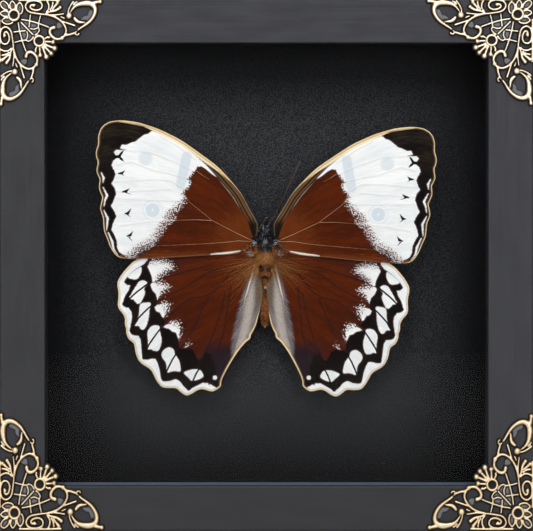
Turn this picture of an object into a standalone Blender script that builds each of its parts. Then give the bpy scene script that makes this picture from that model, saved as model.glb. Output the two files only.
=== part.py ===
"""Framed butterfly specimen: a shadow box with filigree corners, standing on its bottom rail.

Metres, +Z up, the glazed front faces -Y. The origin is the middle of the footprint.
Flat outlines are drawn in millimetres, right and up from the middle of the frame.
"""

import math

import bmesh
import bpy
from mathutils import Matrix, Vector

MM = 0.001
GAP = 0.3  # clearance between pieces that touch

# Frame, millimetres
FRAME_SIZE = 200.0
RAIL_FACE = 17.0
RAIL_DEPTH = 30.0
LIP = 3.0
REBATE = 5.0
OUTER_ROUND = 1.2
SIGHT_ROUND = 0.5
BACK_ROUND = 0.4
MITRE_SHIFT = GAP / math.sqrt(2.0)

# What is stacked in the rebate, millimetres
GLASS_THICK = 2.0
BOARD_DEPTH = 20.0  # from the face of the rails to the front of the board
BOARD_THICK = 5.0
REAR_THICK = 2.5
POINT_SIZE = (8.0, 11.0, 0.5)  # width, length, thickness of a retaining point
POINT_BITE = 5.0  # length driven into the rail

# Corner brackets, millimetres
BRACKET_THICK = 1.6
PROUD = GAP + BRACKET_THICK  # how far the brackets stand in front of the rails

# Hanger, millimetres
HANGER_LENGTH = 44.0
HANGER_WIDTH = 8.0
HANGER_THICK = 0.8
HANGER_TEETH = 7
HANGER_INSET = 2.0
NAIL_SPACING = 37.0
NAIL_HEAD = (1.6, PROUD - 2.0 * GAP - HANGER_THICK)  # radius, thickness
NAIL_SHANK = (0.6, 7.0)  # radius, length

# Specimen, millimetres
WING_THICK = 0.4
FOREWING_DEPTH = 10.3
HINDWING_DEPTH = 11.2
DIHEDRAL = math.radians(2.2)
RIGHT_FOREWING_TURN = math.radians(2.6)
RIGHT_HINDWING_TURN = math.radians(1.2)
RIGHT_WING_SCALE = 0.985
WING_ROOT = (4.0, 7.0)
BODY_DEPTH = 12.5
BODY_FLATTEN = 1.2
HEAD_HALF = (2.3, 2.4, 2.0)
HEAD_HEIGHT = 14.4
ANTENNA_RADIUS = 0.18
PAD_RADIUS = 3.0

# Derived positions, millimetres
TOTAL_DEPTH = RAIL_DEPTH + 2.0 * PROUD
FACE_Y = PROUD - TOTAL_DEPTH / 2.0
CENTRE_Z = FRAME_SIZE / 2.0
WALL = RAIL_FACE - REBATE
SHEET_SIZE = FRAME_SIZE - 2.0 * (WALL + GAP)
SPACER_THICK = REBATE - GAP
GLASS_DEPTH = LIP + GAP
SPACER_DEPTH = GLASS_DEPTH + GLASS_THICK + GAP
REAR_DEPTH = BOARD_DEPTH + BOARD_THICK + GAP
POINT_DEPTH = REAR_DEPTH + REAR_THICK + GAP
THORAX_BACK = BODY_DEPTH + 3.7 * BODY_FLATTEN

# Outline of a wing, from its root out along the leading edge and back, for the left side
# mirrored to positive widths.
FOREWING = [
    (4.3, 7.2), (4.1, 11.5), (4.4, 16.5), (6.2, 21.8), (9.6, 27.4), (15.1, 34.3), (22.0, 39.8),
    (28.8, 44.6), (35.7, 48.8), (42.5, 51.7), (48.5, 53.4), (55.0, 54.0), (59.6, 53.3),
    (62.2, 51.0), (63.3, 47.0), (63.8, 42.6), (63.1, 36.1), (62.3, 31.5), (61.9, 26.0),
    (61.9, 21.0), (61.1, 16.0), (60.5, 11.5), (59.0, 6.9), (56.7, 3.4), (53.0, 2.3),
    (46.0, 2.2), (33.4, 2.7), (17.8, 3.6), (9.6, 4.6), (5.6, 5.4),
]
HINDWING = [
    (4.6, 0.8), (5.4, 4.0), (12.0, 6.5), (25.0, 6.5), (40.0, 5.0), (48.2, 1.7), (51.7, -1.1),
    (54.3, -4.6), (55.6, -8.5), (55.5, -15.5), (53.2, -20.0), (52.5, -24.1), (51.5, -28.0),
    (49.4, -31.0), (48.6, -34.5), (46.6, -37.8), (43.0, -40.2), (41.2, -43.2), (38.6, -46.4),
    (33.9, -46.9), (31.2, -48.7), (29.1, -49.4), (26.3, -48.5), (23.5, -47.2), (20.4, -47.9),
    (17.6, -46.5), (16.1, -42.8), (13.5, -38.0), (9.1, -31.5), (5.8, -27.8), (3.4, -21.5),
    (2.6, -16.5), (2.6, -11.5), (3.5, -5.5), (4.1, -2.0),
]
# Outer edge of half a bracket, across and down from the frame's corner.
BRACKET_EDGE = [
    (1.6, 0.8), (4.0, 0.5), (14.0, 0.5), (26.0, 0.5), (36.0, 0.5), (39.2, 1.0), (38.4, 4.8),
    (36.9, 7.5), (34.6, 10.0), (31.6, 11.8), (30.9, 13.5), (29.5, 13.4), (26.4, 14.2),
    (24.7, 15.5), (22.4, 15.8), (22.7, 18.2),
]
# Openings of half a bracket; each one is repeated on the other side of the diagonal.
BRACKET_OPENINGS = {
    "teardrop": [(29.3, 4.3), (32.7, 3.1), (35.6, 4.1), (36.2, 6.1), (34.2, 8.0), (31.8, 8.4),
                 (29.9, 6.8)],
    "stem_side": [(24.6, 1.6), (26.8, 1.6), (26.2, 4.6), (24.3, 5.0)],
    "scroll_side": [(17.0, 1.8), (18.0, 3.0), (16.9, 4.8), (16.1, 3.6)],
    "leaf_side": [(16.7, 6.6), (20.4, 7.2), (22.2, 8.4), (19.6, 9.8), (17.0, 8.9)],
    "scroll": [(21.6, 11.8), (24.3, 11.2), (24.9, 13.2), (22.6, 14.4), (21.0, 13.4)],
    "web": [(17.0, 10.4), (19.0, 11.3), (19.4, 13.0), (17.6, 13.4), (16.6, 12.3)],
    "ball_side": [(26.6, 9.8), (29.0, 10.7), (28.3, 12.3), (26.9, 12.7)],
}
BRACKET_FLOWER = (6.0, 1.5)  # distance from both edges and radius of the flower's eye
BRACKET_RING = (15.7, 1.4)
CIRCLE_POINTS = 6

# Turned profiles of the body: radius and height, from top to bottom.
THORAX_PROFILE = [
    (0.0, 12.1), (1.6, 11.7), (2.8, 10.3), (3.5, 8.0), (3.7, 5.0), (3.5, 1.8), (2.9, -0.6),
    (1.8, -1.8), (0.0, -2.0),
]
ABDOMEN_PROFILE = [
    (0.0, -2.3), (1.9, -2.6), (2.7, -4.2), (2.3, -6.6), (1.5, -8.8), (1.4, -12.0), (1.8, -16.5),
    (1.8, -19.5), (1.2, -22.2), (0.0, -24.0),
]
# Routes as (right, up, depth behind the face of the rails).
ANTENNA_LEFT = [(-2.3, 16.6, 12.4), (-5.6, 21.0, 12.9), (-10.2, 27.6, 12.6), (-16.4, 36.9, 11.6)]
ANTENNA_RIGHT = [(2.1, 16.8, 12.4), (3.9, 19.6, 12.9), (7.0, 25.4, 12.4), (13.3, 39.1, 11.0)]
PALP_LEFT = [(-0.9, 16.9, 11.6), (-0.5, 17.6, 11.2), (0.6, 18.2, 10.9)]
PALP_RIGHT = [(0.8, 16.9, 11.6), (1.1, 17.6, 11.2), (1.9, 18.2, 10.9)]

COLOURS = {
    "rail_paint": ((0.050, 0.050, 0.054), 0.45, 0.0),
    "glass": ((0.90, 0.94, 0.93), 0.02, 0.0),
    "liner_card": ((0.012, 0.012, 0.013), 0.8, 0.0),
    "board_cover": ((0.014, 0.014, 0.015), 0.6, 0.0),
    "rear_board": ((0.28, 0.18, 0.10), 0.8, 0.0),
    "steel": ((0.55, 0.55, 0.56), 0.35, 1.0),
    "antique_brass": ((0.62, 0.50, 0.32), 0.35, 1.0),
    "wing_scales": ((0.10, 0.016, 0.004), 0.7, 0.0),
    "body_hair": ((0.02, 0.018, 0.018), 0.8, 0.0),
    "abdomen_hair": ((0.24, 0.075, 0.016), 0.7, 0.0),
    "antenna_horn": ((0.03, 0.012, 0.006), 0.4, 0.0),
    "glue": ((0.45, 0.38, 0.24), 0.5, 0.0),
}


def clear_scene():
    """Remove whatever the start-up scene holds."""
    for obj in list(bpy.data.objects):
        bpy.data.objects.remove(obj, do_unlink=True)


def new_collection(name):
    """A collection under the scene's own."""
    collection = bpy.data.collections.new(name)
    bpy.context.scene.collection.children.link(collection)
    return collection


def material(slot):
    """The Principled material of a finish in COLOURS."""
    found = bpy.data.materials.get(slot)
    if found:
        return found
    colour, roughness, metallic = COLOURS[slot]
    made = bpy.data.materials.new(slot)
    made.use_nodes = True
    shader = made.node_tree.nodes["Principled BSDF"]
    shader.inputs["Base Color"].default_value = (*colour, 1.0)
    shader.inputs["Roughness"].default_value = roughness
    shader.inputs["Metallic"].default_value = metallic
    made.diffuse_color = (*colour, 1.0)
    return made


def add_object(name, data, collection, slot=None):
    """Link new object data under a name, with its finish."""
    obj = bpy.data.objects.new(name, data)
    collection.objects.link(obj)
    if slot:
        data.materials.append(material(slot))
    return obj


def upright(depth, right=0.0, up=0.0):
    """Turns a flat drawing to face the viewer, its middle at this depth behind the rails' face."""
    place = Vector((right, FACE_Y + depth, CENTRE_Z + up)) * MM
    return Matrix.Translation(place) @ Matrix.Rotation(math.pi / 2.0, 4, "X")


def quarter_turns(count):
    """A turn by quarters about the frame's own axis through its middle."""
    centre = Matrix.Translation((0.0, 0.0, CENTRE_Z * MM))
    return centre @ Matrix.Rotation(count * math.pi / 2.0, 4, "Y") @ centre.inverted()


def add_loop(curve, points, smooth):
    """Add a closed outline in millimetres, rounded through its points when smooth."""
    if not smooth:
        spline = curve.splines.new("POLY")
        spline.points.add(len(points) - 1)
        for target, (x, y) in zip(spline.points, points):
            target.co = (x * MM, y * MM, 0.0, 1.0)
    else:
        spline = curve.splines.new("BEZIER")
        spline.bezier_points.add(len(points) - 1)
        for target, (x, y) in zip(spline.bezier_points, points):
            target.co = (x * MM, y * MM, 0.0)
            target.handle_left_type = "AUTO"
            target.handle_right_type = "AUTO"
    spline.use_cyclic_u = True


def flat_curve(name, outlines, thickness, smooth=True, steps=3):
    """A plate of this thickness in the drawing's plane; inner outlines are openings."""
    curve = bpy.data.curves.new(name, "CURVE")
    curve.dimensions = "2D"
    curve.fill_mode = "BOTH"
    curve.resolution_u = steps
    curve.extrude = thickness * MM / 2.0
    for points in outlines:
        add_loop(curve, points, smooth)
    return curve


def circle_points(across, up, radius):
    """Evenly spaced points round a circle."""
    angles = [2.0 * math.pi * i / CIRCLE_POINTS for i in range(CIRCLE_POINTS)]
    return [(across + radius * math.cos(a), up + radius * math.sin(a)) for a in angles]


def arc_points(centre, radius, start, end, steps=3):
    """Points along a round from one angle to another, both in degrees."""
    angles = [math.radians(start + (end - start) * i / steps) for i in range(steps + 1)]
    return [
        (centre[0] + radius * math.cos(a), centre[1] + radius * math.sin(a)) for a in angles
    ]


def box_mesh(name, size):
    """A box of this size in millimetres, centred on its own origin."""
    mesh = bpy.data.meshes.new(name)
    bm = bmesh.new()
    bmesh.ops.create_cube(bm, size=1.0)
    bmesh.ops.scale(bm, vec=Vector(size) * MM, verts=bm.verts)
    bm.to_mesh(mesh)
    bm.free()
    return mesh


def add_sheet(name, across, up, thickness, depth, collection, slot, right=0.0, height=0.0):
    """A flat sheet behind the rails' face: depth is where its front lies."""
    obj = add_object(name, box_mesh(name, (across, thickness, up)), collection, slot)
    obj.location = Vector((right, FACE_Y + depth + thickness / 2.0, CENTRE_Z + height)) * MM
    return obj


def turned(name, profile, collection, slot, steps=16):
    """A profile of (radius, height) turned about the vertical through its own origin."""
    mesh = bpy.data.meshes.new(name)
    points = [(r * MM, 0.0, z * MM) for r, z in profile]
    mesh.from_pydata(points, [(i, i + 1) for i in range(len(points) - 1)], [])
    obj = add_object(name, mesh, collection, slot)
    screw = obj.modifiers.new("Turn", "SCREW")
    screw.axis = "Z"
    screw.steps = steps
    screw.render_steps = steps
    screw.use_merge_vertices = True
    screw.merge_threshold = 0.00001
    screw.use_smooth_shade = True
    return obj


def rail_profile():
    """Section of a rail as (inward from the outer edge, depth behind its face)."""
    points = arc_points((OUTER_ROUND, OUTER_ROUND), OUTER_ROUND, 180.0, 270.0)
    sight = (RAIL_FACE - SIGHT_ROUND, SIGHT_ROUND)
    points += arc_points(sight, SIGHT_ROUND, 270.0, 360.0)
    points += [(RAIL_FACE, LIP), (WALL, LIP)]
    back = RAIL_DEPTH - BACK_ROUND
    points += [(WALL, back), (WALL - BACK_ROUND, RAIL_DEPTH)]
    points += [(BACK_ROUND, RAIL_DEPTH), (0.0, back)]
    return points


def welded_mesh(curve):
    """The mesh of a curve, its caps welded on and its faces turned outwards."""
    drawn = bpy.data.objects.new(curve.name, curve)
    bpy.context.scene.collection.objects.link(drawn)
    graph = bpy.context.evaluated_depsgraph_get()
    mesh = bpy.data.meshes.new_from_object(drawn.evaluated_get(graph))
    bpy.data.objects.remove(drawn)
    bm = bmesh.new()
    bm.from_mesh(mesh)
    bmesh.ops.remove_doubles(bm, verts=bm.verts, dist=1e-6)
    bmesh.ops.recalc_face_normals(bm, faces=bm.faces)
    bm.to_mesh(mesh)
    bm.free()
    mesh.materials.clear()
    return mesh


def rail_mesh():
    """One rail as a straight bar, its ends mitred by sliding each point inwards."""
    section = flat_curve("rail_section", [rail_profile()], FRAME_SIZE, smooth=False)
    mesh = welded_mesh(section)
    for vert in mesh.vertices:
        reach = (FRAME_SIZE / 2.0 - MITRE_SHIFT) * MM - vert.co.x
        vert.co.z = math.copysign(reach, vert.co.z)
    return mesh


def add_cut(obj, cutter):
    """Cut one object from another with a Boolean."""
    cut = obj.modifiers.new("Cut " + cutter.name, "BOOLEAN")
    cut.operation = "DIFFERENCE"
    cut.solver = "EXACT"
    cut.object = cutter


def hide_cutter(obj):
    """Keep a cutting shape out of the model."""
    obj.hide_render = True
    obj.display_type = "WIRE"


def point_place(turns):
    """Where a retaining point lies: half in the rail, half over the rear panel."""
    size = POINT_SIZE[1]
    inward = WALL - POINT_BITE + size / 2.0
    depth = FACE_Y + POINT_DEPTH + POINT_SIZE[2] / 2.0
    return quarter_turns(turns) @ Matrix.Translation(Vector((0.0, depth, inward)) * MM)


def build_rails(parts, cutters):
    """Four mitred rails, each with a slot for its retaining point."""
    rails = {}
    width, length, thick = POINT_SIZE
    slot_size = (width + 2 * GAP, thick + 2 * GAP, length + 2 * GAP)
    lay_down = Matrix.Rotation(-math.pi / 2.0, 4, "Y")
    place = Matrix.Translation((0.0, FACE_Y * MM, 0.0))
    for turns, side in enumerate(("bottom", "left", "top", "right")):
        rail = add_object("rail_" + side, rail_mesh(), parts, "rail_paint")
        rail.matrix_world = quarter_turns(turns) @ place @ lay_down
        cutter = add_object("slot_" + side, box_mesh("slot", slot_size), cutters)
        cutter.matrix_world = point_place(turns)
        hide_cutter(cutter)
        add_cut(rail, cutter)
        rails[side] = rail
    return rails


def build_glazing(parts):
    """What fills the rebate: glass, spacers, covered board, rear panel, retaining points."""
    add_sheet("glass_pane", SHEET_SIZE, SHEET_SIZE, GLASS_THICK, GLASS_DEPTH, parts, "glass")
    spacer_deep = BOARD_DEPTH - GAP - SPACER_DEPTH
    offset = SHEET_SIZE / 2.0 - SPACER_THICK / 2.0
    short = SHEET_SIZE - 2.0 * (SPACER_THICK + GAP)
    for side, sign in (("bottom", -1.0), ("top", 1.0)):
        add_sheet("spacer_" + side, SHEET_SIZE, SPACER_THICK, spacer_deep, SPACER_DEPTH, parts,
                  "liner_card", height=sign * offset)
    for side, sign in (("left", -1.0), ("right", 1.0)):
        add_sheet("spacer_" + side, SPACER_THICK, short, spacer_deep, SPACER_DEPTH, parts,
                  "liner_card", right=sign * offset)
    add_sheet("mount_board", SHEET_SIZE, SHEET_SIZE, BOARD_THICK, BOARD_DEPTH, parts,
              "board_cover")
    add_sheet("rear_panel", SHEET_SIZE, SHEET_SIZE, REAR_THICK, REAR_DEPTH, parts, "rear_board")
    width, length, thick = POINT_SIZE
    for turns, side in enumerate(("bottom", "left", "top", "right")):
        mesh = box_mesh("retaining_point_" + side, (width, thick, length))
        point = add_object("retaining_point_" + side, mesh, parts, "steel")
        point.matrix_world = point_place(turns)


def hanger_outline():
    """A strip with a toothed lower edge between its two nail holes."""
    half = HANGER_LENGTH / 2.0
    top = HANGER_WIDTH / 2.0
    pitch = (NAIL_SPACING - 9.0) / HANGER_TEETH
    start = pitch * HANGER_TEETH / 2.0
    points = [(-half, -top), (-half, top), (half, top), (half, -top)]
    for tooth in range(HANGER_TEETH):
        edge = start - tooth * pitch
        points += [(edge, -top), (edge - pitch / 2.0, -top + 1.8)]
    points.append((-start, -top))
    return points


def build_hanger(parts, cutters, top_rail):
    """A sawtooth hanger on the top rail's back, held by two nails."""
    up = CENTRE_Z - HANGER_INSET - HANGER_WIDTH / 2.0
    back = RAIL_DEPTH + GAP
    nail_up = 1.0
    shank_radius, shank_length = NAIL_SHANK
    holes = [
        [(sign * NAIL_SPACING / 2.0 + x, nail_up + y)
         for x, y in circle_points(0.0, 0.0, shank_radius + GAP)]
        for sign in (-1.0, 1.0)
    ]
    plate = flat_curve("sawtooth_hanger", [hanger_outline(), *holes], HANGER_THICK, smooth=False)
    hanger = add_object("sawtooth_hanger", plate, parts, "steel")
    hanger.matrix_world = upright(back + HANGER_THICK / 2.0, up=up)
    head_radius, head_thick = NAIL_HEAD
    head_front = HANGER_THICK + GAP
    profile = [
        (0.0, head_front + head_thick), (head_radius, head_front + head_thick),
        (head_radius, head_front), (shank_radius, head_front),
        (shank_radius, -shank_length), (0.0, -shank_length - 1.0),
    ]
    bore = shank_radius + GAP
    bore_profile = [(0.0, 5.0), (bore, 5.0), (bore, -shank_length - 1.5),
                    (0.0, -shank_length - 1.5)]
    for side, sign in (("left", -1.0), ("right", 1.0)):
        place = Vector((sign * NAIL_SPACING / 2.0, FACE_Y + back, CENTRE_Z + up + nail_up)) * MM
        pose = Matrix.Translation(place) @ Matrix.Rotation(-math.pi / 2.0, 4, "X")
        nail = turned("hanger_nail_" + side, profile, parts, "steel", steps=12)
        nail.matrix_world = pose
        hole = turned("nail_hole_" + side, bore_profile, cutters, None, steps=12)
        hole.matrix_world = pose
        hide_cutter(hole)
        add_cut(top_rail, hole)


def bracket_outlines():
    """The bracket's edge and openings, drawn for the upper left corner."""
    def from_corner(points):
        return [(across - FRAME_SIZE / 2.0, FRAME_SIZE / 2.0 - down) for across, down in points]

    def mirrored(points):
        return [(down, across) for across, down in points]

    edge = BRACKET_EDGE + mirrored(BRACKET_EDGE[::-1])
    loops = [from_corner(edge)]
    for distance, radius in (BRACKET_FLOWER, BRACKET_RING):
        loops.append(from_corner(circle_points(distance, distance, radius)))
    for points in BRACKET_OPENINGS.values():
        loops.append(from_corner(points))
        loops.append(from_corner(mirrored(points)))
    return loops


def build_brackets(parts):
    """An openwork bracket on each corner of the face."""
    corners = ("top_left", "top_right", "bottom_right", "bottom_left")
    for turns, corner in enumerate(corners):
        name = "bracket_" + corner
        plate = welded_mesh(flat_curve(name, bracket_outlines(), BRACKET_THICK, steps=2))
        bracket = add_object(name, plate, parts, "antique_brass")
        bracket.matrix_world = quarter_turns(turns) @ upright(-GAP - BRACKET_THICK / 2.0)


def build_wing(name, outline, depth, side, turn, scale, parts):
    """A wing plate that lifts towards the glass from its root; side is -1 left, 1 right."""
    root_x, root_z = WING_ROOT
    points = [
        (side * (x - root_x) * scale, (z - root_z) * scale) for x, z in outline
    ]
    wing = add_object(name, flat_curve(name, [points], WING_THICK), parts, "wing_scales")
    lift = Matrix.Rotation(-side * DIHEDRAL, 4, "Z")
    place = Vector((side * root_x, FACE_Y + depth, CENTRE_Z + root_z)) * MM
    stand = Matrix.Rotation(math.pi / 2.0, 4, "X")
    wing.matrix_world = (
        Matrix.Translation(place) @ lift @ stand @ Matrix.Rotation(-side * turn, 4, "Z")
    )


def build_wings(parts):
    """Two forewings in front of two hindwings, the right pair turned a little down."""
    for side, label in ((-1.0, "left"), (1.0, "right")):
        right = side > 0.0
        scale = RIGHT_WING_SCALE if right else 1.0
        build_wing("forewing_" + label, FOREWING, FOREWING_DEPTH, side,
                   RIGHT_FOREWING_TURN if right else 0.0, scale, parts)
        build_wing("hindwing_" + label, HINDWING, HINDWING_DEPTH, side,
                   RIGHT_HINDWING_TURN if right else 0.0, scale, parts)


def tapered_tube(name, route, radii, collection, slot):
    """A thin round piece along a route, its thickness running through the given radii."""
    curve = bpy.data.curves.new(name, "CURVE")
    curve.dimensions = "3D"
    curve.bevel_depth = MM
    curve.bevel_resolution = 1
    curve.resolution_u = 3
    curve.use_fill_caps = True
    spline = curve.splines.new("BEZIER")
    spline.bezier_points.add(len(route) - 1)
    for target, (x, up, depth), radius in zip(spline.bezier_points, route, radii):
        target.co = Vector((x, FACE_Y + depth, CENTRE_Z + up)) * MM
        target.radius = radius
        target.handle_left_type = "AUTO"
        target.handle_right_type = "AUTO"
    return add_object(name, curve, collection, slot)


def build_body(parts):
    """Head, thorax and abdomen on one line, with antennae, palps and the pad that holds them."""
    bpy.ops.mesh.primitive_uv_sphere_add(segments=16, ring_count=10, radius=MM)
    head = bpy.context.object
    head.name = "head"
    for old in list(head.users_collection):
        old.objects.unlink(head)
    parts.objects.link(head)
    head.data.materials.append(material("body_hair"))
    head.data.shade_smooth()
    head.location = Vector((0.0, FACE_Y + BODY_DEPTH, CENTRE_Z + HEAD_HEIGHT)) * MM
    head.scale = HEAD_HALF
    for name, profile, slot in (
        ("thorax", THORAX_PROFILE, "body_hair"), ("abdomen", ABDOMEN_PROFILE, "abdomen_hair")
    ):
        piece = turned(name, profile, parts, slot)
        piece.location = Vector((0.0, FACE_Y + BODY_DEPTH, CENTRE_Z)) * MM
        piece.scale = (1.0, BODY_FLATTEN, 1.0)
    feeler = [ANTENNA_RADIUS, ANTENNA_RADIUS * 0.8, ANTENNA_RADIUS, ANTENNA_RADIUS * 1.4]
    tapered_tube("antenna_left", ANTENNA_LEFT, feeler, parts, "antenna_horn")
    tapered_tube("antenna_right", ANTENNA_RIGHT, feeler, parts, "antenna_horn")
    tapered_tube("palp_left", PALP_LEFT, [0.5, 0.45, 0.12], parts, "body_hair")
    tapered_tube("palp_right", PALP_RIGHT, [0.5, 0.45, 0.12], parts, "body_hair")
    pad_front = THORAX_BACK + GAP
    pad_back = BOARD_DEPTH - GAP
    profile = [(0.0, pad_back), (PAD_RADIUS, pad_back), (PAD_RADIUS, pad_front),
               (0.0, pad_front)]
    pad = turned("mounting_pad", profile, parts, "glue", steps=14)
    place = Vector((0.0, FACE_Y, CENTRE_Z + THORAX_PROFILE[4][1])) * MM
    pad.matrix_world = Matrix.Translation(place) @ Matrix.Rotation(-math.pi / 2.0, 4, "X")


def main():
    """Build the whole framed specimen."""
    clear_scene()
    parts = new_collection("framed_butterfly_specimen")
    cutters = new_collection("cutters")
    rails = build_rails(parts, cutters)
    build_glazing(parts)
    build_hanger(parts, cutters, rails["top"])
    build_brackets(parts)
    build_wings(parts)
    build_body(parts)
    bpy.context.view_layer.update()


main()
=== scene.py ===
"""Looks of the framed butterfly specimen: painted shadow box, filigree corners, wings and body.

Shapes are worked out in millimetres on the specimen's own axes: right and up from the middle of
the frame, and depth behind the face of the rails. They go into the meshes in metres. A marking is
held as a depth inside its edge, and OUTSIDE is a depth far from it.
"""

from __future__ import annotations

import logging
import math
from collections.abc import Sequence
from dataclasses import dataclass, field
from enum import Enum

import bpy
import numpy as np
from mathutils import Matrix, Vector


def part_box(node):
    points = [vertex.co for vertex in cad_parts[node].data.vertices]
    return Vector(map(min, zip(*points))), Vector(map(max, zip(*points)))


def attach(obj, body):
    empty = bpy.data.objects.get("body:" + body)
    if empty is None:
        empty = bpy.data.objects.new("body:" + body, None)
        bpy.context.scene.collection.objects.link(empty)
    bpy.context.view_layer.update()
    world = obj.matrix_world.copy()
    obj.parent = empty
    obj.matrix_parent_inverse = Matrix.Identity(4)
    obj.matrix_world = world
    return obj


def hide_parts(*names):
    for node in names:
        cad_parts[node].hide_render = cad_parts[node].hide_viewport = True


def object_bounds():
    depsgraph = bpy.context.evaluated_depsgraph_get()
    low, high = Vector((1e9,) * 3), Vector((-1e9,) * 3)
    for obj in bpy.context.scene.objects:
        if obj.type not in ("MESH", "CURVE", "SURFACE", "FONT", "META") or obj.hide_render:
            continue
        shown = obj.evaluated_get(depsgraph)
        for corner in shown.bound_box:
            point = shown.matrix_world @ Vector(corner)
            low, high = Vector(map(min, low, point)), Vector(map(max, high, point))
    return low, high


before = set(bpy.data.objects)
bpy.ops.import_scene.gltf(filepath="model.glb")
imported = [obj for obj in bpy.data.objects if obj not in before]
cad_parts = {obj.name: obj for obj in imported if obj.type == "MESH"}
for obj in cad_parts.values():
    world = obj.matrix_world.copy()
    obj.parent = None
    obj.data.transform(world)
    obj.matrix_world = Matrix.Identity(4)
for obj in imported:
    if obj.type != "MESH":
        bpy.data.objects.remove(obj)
cad_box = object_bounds()

MM = 0.001
SPECIMEN_SHIFT = (-0.42, 0.1)
BODY_SHIFT = (-0.56, -0.25)
HALF = cad_box[1].x / MM
CENTRE_Z = (cad_box[0].z + cad_box[1].z) / 2.0 / MM
FACE_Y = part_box("rail_bottom")[0].y / MM
OUTSIDE = -9.0
UPRIGHT = np.array([0.0, 0.0, 1.0])

log = logging.getLogger("specimen")
Array = np.ndarray
Pair = tuple[float, float]
Triple = tuple[float, float, float]
Material = bpy.types.Material
Route = Sequence[tuple[float, ...]] | Array


# ---- curves and distances


def smooth_path(points: Route, closed: bool = False, steps: int = 8) -> Array:
    """Round curve through points, as Catmull-Rom cubics.

    Each span is the cubic whose slope at a point is half the chord between its neighbours.

    Args:
        points: the points it passes through.
        closed: whether it returns to its first point.
        steps: places worked out on each span.

    Returns:
        Places along the curve, one a row.
    """
    knots = np.asarray(points, float)
    if closed:
        stops = [np.roll(knots, shift, axis=0) for shift in (1, 0, -1, -2)]
    else:
        padded = np.vstack([2 * knots[0] - knots[1], knots, 2 * knots[-1] - knots[-2]])
        stops = [padded[:-3], padded[1:-2], padded[2:-1], padded[3:]]
    before, start, end, after = (stop[:, None, :] for stop in stops)
    share = np.linspace(0.0, 1.0, steps, endpoint=False)[None, :, None]
    bend = 2 * before - 5 * start + 4 * end - after
    twist = 3 * start - before - 3 * end + after
    curve = start + 0.5 * ((end - before) * share + bend * share**2 + twist * share**3)
    curve = curve.reshape(-1, knots.shape[1])
    return curve if closed else np.vstack([curve, knots[-1]])


def resample(path: Array, count: int) -> Array:
    """Evenly spaced places along a path, by its running length.

    Args:
        path: places along it.
        count: how many are wanted.

    Returns:
        That many places, ends included.
    """
    strides = np.linalg.norm(np.diff(path, axis=0), axis=1)
    reach = np.concatenate([[0.0], np.cumsum(strides)])
    wanted = np.linspace(0.0, reach[-1], count)
    return np.stack([np.interp(wanted, reach, column) for column in path.T], axis=1)


def stroke_depth(
    spots: Array, path: Route, half_width: float | Sequence[float] = 0.0
) -> Array:
    """How deep each spot lies inside a brush stroke: its half width there less the distance.

    Args:
        spots: places in the plane, one a row.
        path: the stroke's middle line.
        half_width: one number, or one for each point of the path.

    Returns:
        A depth for each spot, positive inside.
    """
    line = np.asarray(path, float)
    widths = np.broadcast_to(np.asarray(half_width, float), len(line))
    deepest = np.full(len(spots), -np.inf)
    for start, end, near, far in zip(line[:-1], line[1:], widths[:-1], widths[1:]):
        run = end - start
        share = np.clip((spots - start) @ run / max(run @ run, 1e-12), 0.0, 1.0)
        gap = np.hypot(*(spots - start - share[:, None] * run).T)
        deepest = np.maximum(deepest, near + (far - near) * share - gap)
    return deepest


def patch_depth(spots: Array, outline: Route) -> Array:
    """Distance to a closed outline, positive inside by the even-odd rule.

    Args:
        spots: places in the plane, one a row.
        outline: the patch's corners in order.

    Returns:
        A signed distance for each spot.
    """
    ring = np.vstack([outline, outline[:1]])
    gap = -stroke_depth(spots, ring)
    within = np.zeros(len(spots), bool)
    for (x0, y0), (x1, y1) in zip(ring[:-1], ring[1:]):
        if y0 != y1:
            straddles = (y0 > spots[:, 1]) != (y1 > spots[:, 1])
            within ^= straddles & (spots[:, 0] < x0 + (spots[:, 1] - y0) * (x1 - x0) / (y1 - y0))
    return np.where(within, gap, -gap)


def ease(values: Array, low: float, high: float) -> Array:
    """Smooth step from 0 at low to 1 at high: three squares less two cubes of the share."""
    share = np.clip((values - low) / (high - low), 0.0, 1.0)
    return share * share * (3.0 - 2.0 * share)


# ---- meshes


@dataclass
class Form:
    """Points in millimetres, faces and point values of a closed shape."""

    points: Array
    faces: list[Array]
    tags: dict[str, Array] = field(default_factory=dict)

    def outward(self) -> Form:
        """Turn the faces out, so that the sum of their corner volumes is positive.

        Returns:
            This form.
        """
        volume = 0.0
        for block in self.faces:
            for step in range(1, block.shape[1] - 1):
                corners = self.points[block[:, [0, step, step + 1]]]
                volume += np.linalg.det(corners).sum()
        if volume < 0.0:
            self.faces = [block[:, ::-1] for block in self.faces]
        return self

    def mesh(self, name: str) -> bpy.types.Mesh:
        """This form as a mesh in metres."""
        made = bpy.data.meshes.new(name)
        faces = [row for block in self.faces for row in block.tolist()]
        made.from_pydata((self.points * MM).tolist(), [], faces)
        return made


def joined(forms: Sequence[Form]) -> Form:
    """Several forms as one.

    Args:
        forms: the forms; a value that one of them lacks is 0 there.

    Returns:
        The form that holds them all.
    """
    offsets = np.cumsum([0] + [len(form.points) for form in forms])
    faces = [block + start for form, start in zip(forms, offsets) for block in form.faces]
    names = sorted({name for form in forms for name in form.tags})
    tags = {
        name: np.concatenate([form.tags.get(name, np.zeros(len(form.points))) for form in forms])
        for name in names
    }
    return Form(np.vstack([form.points for form in forms]), faces, tags)


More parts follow.
